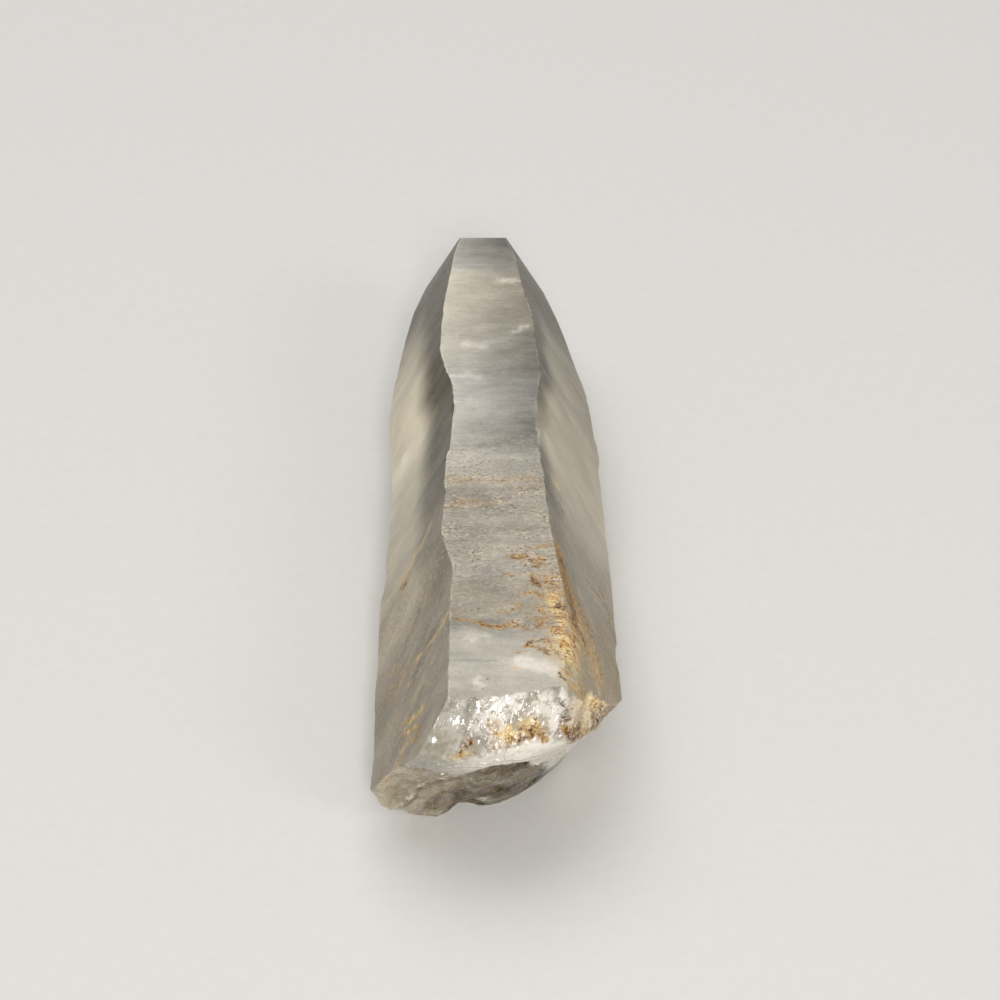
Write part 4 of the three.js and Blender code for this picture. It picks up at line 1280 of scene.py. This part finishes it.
def milky_quartz():
    """Milky quartz: clear silica clouded by countless tiny fluid bubbles, grown face by face.

    The bubbles give it a soft inner glow and a greyish cream tone. Its grown faces are satin to
    glossy and finely striated, and its broken foot is vitreous and full of small glinting flats.
    Iron oxide has stained it ochre to dark brown along growth lines and in cracks. Its colour also
    holds painted shade and painted light: darker along the upper ridges of the side faces and below
    the brow's lip, lighter low on the side faces and on the brow, and painted glints on the break.
    """
    material = bpy.data.materials.new("milky_quartz")
    material.use_nodes = True
    tree = material.node_tree
    tree.nodes.clear()
    mark = {}
    for name in MARKS:
        mark[name] = add(tree, "ShaderNodeAttribute", output="Fac", attribute_name=name)

    # The growth lines of the side faces slant a little, so the patterns are sheared with them.
    place = add(tree, "ShaderNodeTexCoord", output="Object")
    shear = add(tree, "ShaderNodeCombineXYZ", {"Y": mark["slant"]})
    place = add(tree, "ShaderNodeVectorMath", {0: place, 1: shear}, operation="ADD")
    pattern = {}
    for name, (across, along, detail, roughness, distortion) in PATTERNS.items():
        scale = [1 / (size * MILLIMETRE) for size in (across, along, across)]
        scaled = add(tree, "ShaderNodeMapping", {"Vector": place, "Scale": scale})
        pattern[name] = add(tree, "ShaderNodeTexNoise", {
            "Vector": scaled, "Scale": 1.0, "Detail": detail, "Roughness": roughness,
            "Distortion": distortion,
        })

    # Body: from grey where it is clear to cream where it is full of bubbles.
    cloud = mark["milk_and_shading"]
    for name, swing in CLOUDS:
        shift = add(tree, "ShaderNodeMapRange", {
            "Value": pattern[name], "From Min": PATTERN_LOW, "From Max": PATTERN_HIGH,
            "To Min": -swing, "To Max": swing,
        })
        cloud = add(tree, "ShaderNodeMath", {0: cloud, 1: shift}, operation="ADD", use_clamp=True)
    cool, warm = (
        add(tree, "ShaderNodeMix", {
            0: cloud, FIRST: colour(clear), SECOND: colour(milky),
        }, MIXED, data_type="RGBA")
        for clear, milky in (COOL_BODY, WARM_BODY)
    )
    body = add(tree, "ShaderNodeMix", {
        0: mark["warmth"], FIRST: cool, SECOND: warm,
    }, MIXED, data_type="RGBA")

    for name, broken_by, start, full, strength, code in LAYERS:
        amount = add(tree, "ShaderNodeMapRange", {
            "Value": pattern[broken_by], "From Min": start, "From Max": full, "To Max": strength,
        })
        amount = add(tree, "ShaderNodeMath", {
            0: amount, 1: mark[name],
        }, operation="MULTIPLY", use_clamp=True)
        body = add(tree, "ShaderNodeMix", {
            0: amount, FIRST: body, SECOND: colour(code),
        }, MIXED, data_type="RGBA")

    # Satin on the grown faces, vitreous on the break, and dull where rust covers it.
    stained = add(tree, "ShaderNodeMath", {
        0: mark["rust"], 1: mark["dark_rust"],
    }, operation="MAXIMUM")
    roughness = add(tree, "ShaderNodeMix", {
        0: mark["broken"], 2: SATIN_ROUGHNESS, 3: VITREOUS_ROUGHNESS,
    }, data_type="FLOAT")
    satin = add(tree, "ShaderNodeMapRange", {
        "Value": pattern["grain"], "From Min": PATTERN_LOW, "From Max": PATTERN_HIGH,
        "To Min": -ROUGHNESS_SWING, "To Max": ROUGHNESS_SWING,
    })
    roughness = add(tree, "ShaderNodeMath", {0: roughness, 1: satin}, operation="ADD")
    roughness = add(tree, "ShaderNodeMath", {
        0: stained, 1: RUST_DULLS, 2: roughness,
    }, operation="MULTIPLY_ADD", use_clamp=True)

    # Light goes through it less where bubbles, cracks or rust are in the way.
    through = add(tree, "ShaderNodeMapRange", {
        "Value": cloud, "To Min": THROUGH[0], "To Max": THROUGH[1],
    })
    covered = add(tree, "ShaderNodeMath", {0: stained, 1: mark["frost_and_glint"]}, operation="MAXIMUM")
    bare = add(tree, "ShaderNodeMapRange", {
        "Value": covered, "From Max": COVER_FULL, "To Min": 1.0, "To Max": COVER_LEAVES,
    })
    through = add(tree, "ShaderNodeMath", {0: through, 1: bare}, operation="MULTIPLY")
    glow = add(tree, "ShaderNodeMath", {0: bare, 1: GLOW}, operation="MULTIPLY")

    # Hair-fine striations and the grain of the surface, finer than the mesh.
    striation, pitting = (
        add(tree, "ShaderNodeMapRange", {"Value": mark["broken"], "To Min": grown, "To Max": broken})
        for grown, broken in (STRIAE_RELIEF, GRIT_RELIEF)
    )
    lines = add(tree, "ShaderNodeMath", {0: pattern["striae"], 1: striation}, operation="MULTIPLY")
    relief = add(tree, "ShaderNodeMath", {
        0: pattern["grit"], 1: pitting, 2: lines,
    }, operation="MULTIPLY_ADD")
    bump = add(tree, "ShaderNodeBump", {
        "Height": relief, "Strength": RELIEF_STRENGTH, "Distance": RELIEF_DEPTH * MILLIMETRE,
    })

    quartz = add(tree, "ShaderNodeBsdfPrincipled", {
        "Base Color": body, "Roughness": roughness, "Normal": bump, "IOR": QUARTZ_IOR,
        "Transmission Weight": through, "Subsurface Weight": glow,
        "Subsurface Radius": GLOW_COLOURS, "Subsurface Scale": GLOW_REACH * MILLIMETRE,
    })
    depths = add(tree, "ShaderNodeVolumeAbsorption", {
        "Color": colour(INSIDE_COLOUR), "Density": INSIDE_DENSITY,
    })
    add(tree, "ShaderNodeOutputMaterial", {"Surface": quartz, "Volume": depths})
    return material


ROLLER_SCALE = 900.0  # per metre


def studio_floor_paint():
    """Matt paint on a studio table: pale and even, with the faintest roller texture.

    The real stipple of a roller is about a millimetre wide, and it is drawn at that size.
    """
    material = bpy.data.materials.new("studio_floor_paint")
    material.use_nodes = True
    tree = material.node_tree
    tree.nodes.clear()
    place = add(tree, "ShaderNodeTexCoord", output="Object")
    roller = add(tree, "ShaderNodeTexNoise", {
        "Vector": place, "Scale": ROLLER_SCALE, "Detail": 3.0,
    })
    tone = add(tree, "ShaderNodeMix", {
        0: roller, FIRST: colour("dcdad6"), SECOND: colour("e2e0dc"),
    }, MIXED, data_type="RGBA")
    paint = add(tree, "ShaderNodeBsdfPrincipled", {"Base Color": tone, "Roughness": 0.75})
    add(tree, "ShaderNodeOutputMaterial", {"Surface": paint})
    return material


# ------------------------------------------------------------------ the crystal in its place

crystal = build_crystal("crystal_surface")
crystal.data.materials.append(milky_quartz())
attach(crystal, "root")
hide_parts("quartz_crystal")

# ------------------------------------------------------------------ studio

FLOOR_SIDE = 3.0  # metres, as all of the studio's lengths are
AIR_STRENGTH = 0.35
floor_mesh = bpy.data.meshes.new("studio_floor")
half = FLOOR_SIDE / 2
corners = [(-half, -half, 0), (half, -half, 0), (half, half, 0), (-half, half, 0)]
floor_mesh.from_pydata(corners, [], [(0, 1, 2, 3)])
floor = bpy.data.objects.new("studio_floor", floor_mesh)
floor_mesh.materials.append(studio_floor_paint())
bpy.context.scene.collection.objects.link(floor)


def softbox(name, place, aim, width, height, power):
    """A soft rectangular lamp at a place, aimed at another, with its power in watts."""
    light = bpy.data.lights.new(name, "AREA")
    light.shape = "RECTANGLE"
    light.size = width
    light.size_y = height
    light.energy = power
    lamp = bpy.data.objects.new(name, light)
    lamp.location = place
    lamp.rotation_euler = (Vector(aim) - Vector(place)).to_track_quat("-Z", "Y").to_euler()
    bpy.context.scene.collection.objects.link(lamp)


softbox("overhead_softbox", (-0.12, 0.2, 0.6), (0, 0, 0), 0.7, 0.5, 2.1)
softbox("front_softbox", (0.04, -0.6, 0.43), (0, -0.02, 0), 0.17, 0.17, 2.6)
softbox("right_softbox", (0.45, -0.4, 0.4), (0, -0.03, 0), 0.2, 0.2, 0.55)

world = bpy.data.worlds.new("studio_air")
world.use_nodes = True
background = world.node_tree.nodes["Background"]
background.inputs["Color"].default_value = colour("eeedeb")
background.inputs["Strength"].default_value = AIR_STRENGTH
bpy.context.scene.world = world
bpy.context.scene.view_settings.view_transform = "Standard"

# ------------------------------------------------------------------ camera

CAMERA_PLACE = (-MIDDLE_ACROSS, -154.571 - MIDDLE_ALONG, 155.507)  # millimetres
CAMERA_TILT = math.radians(52)  # 38 degrees below level
SENSOR_WIDTH = 36  # millimetres, as the focal length is
FOCAL_LENGTH = 97.2
NEAREST = 0.01  # metres; nothing nearer is drawn
lens = bpy.data.cameras.new("camera")
lens.sensor_width = SENSOR_WIDTH
lens.lens = FOCAL_LENGTH
lens.clip_start = NEAREST
camera = bpy.data.objects.new("camera", lens)
camera.location = [value * MILLIMETRE for value in CAMERA_PLACE]
camera.rotation_euler = (CAMERA_TILT, 0, 0)
bpy.context.scene.collection.objects.link(camera)
bpy.context.scene.camera = camera
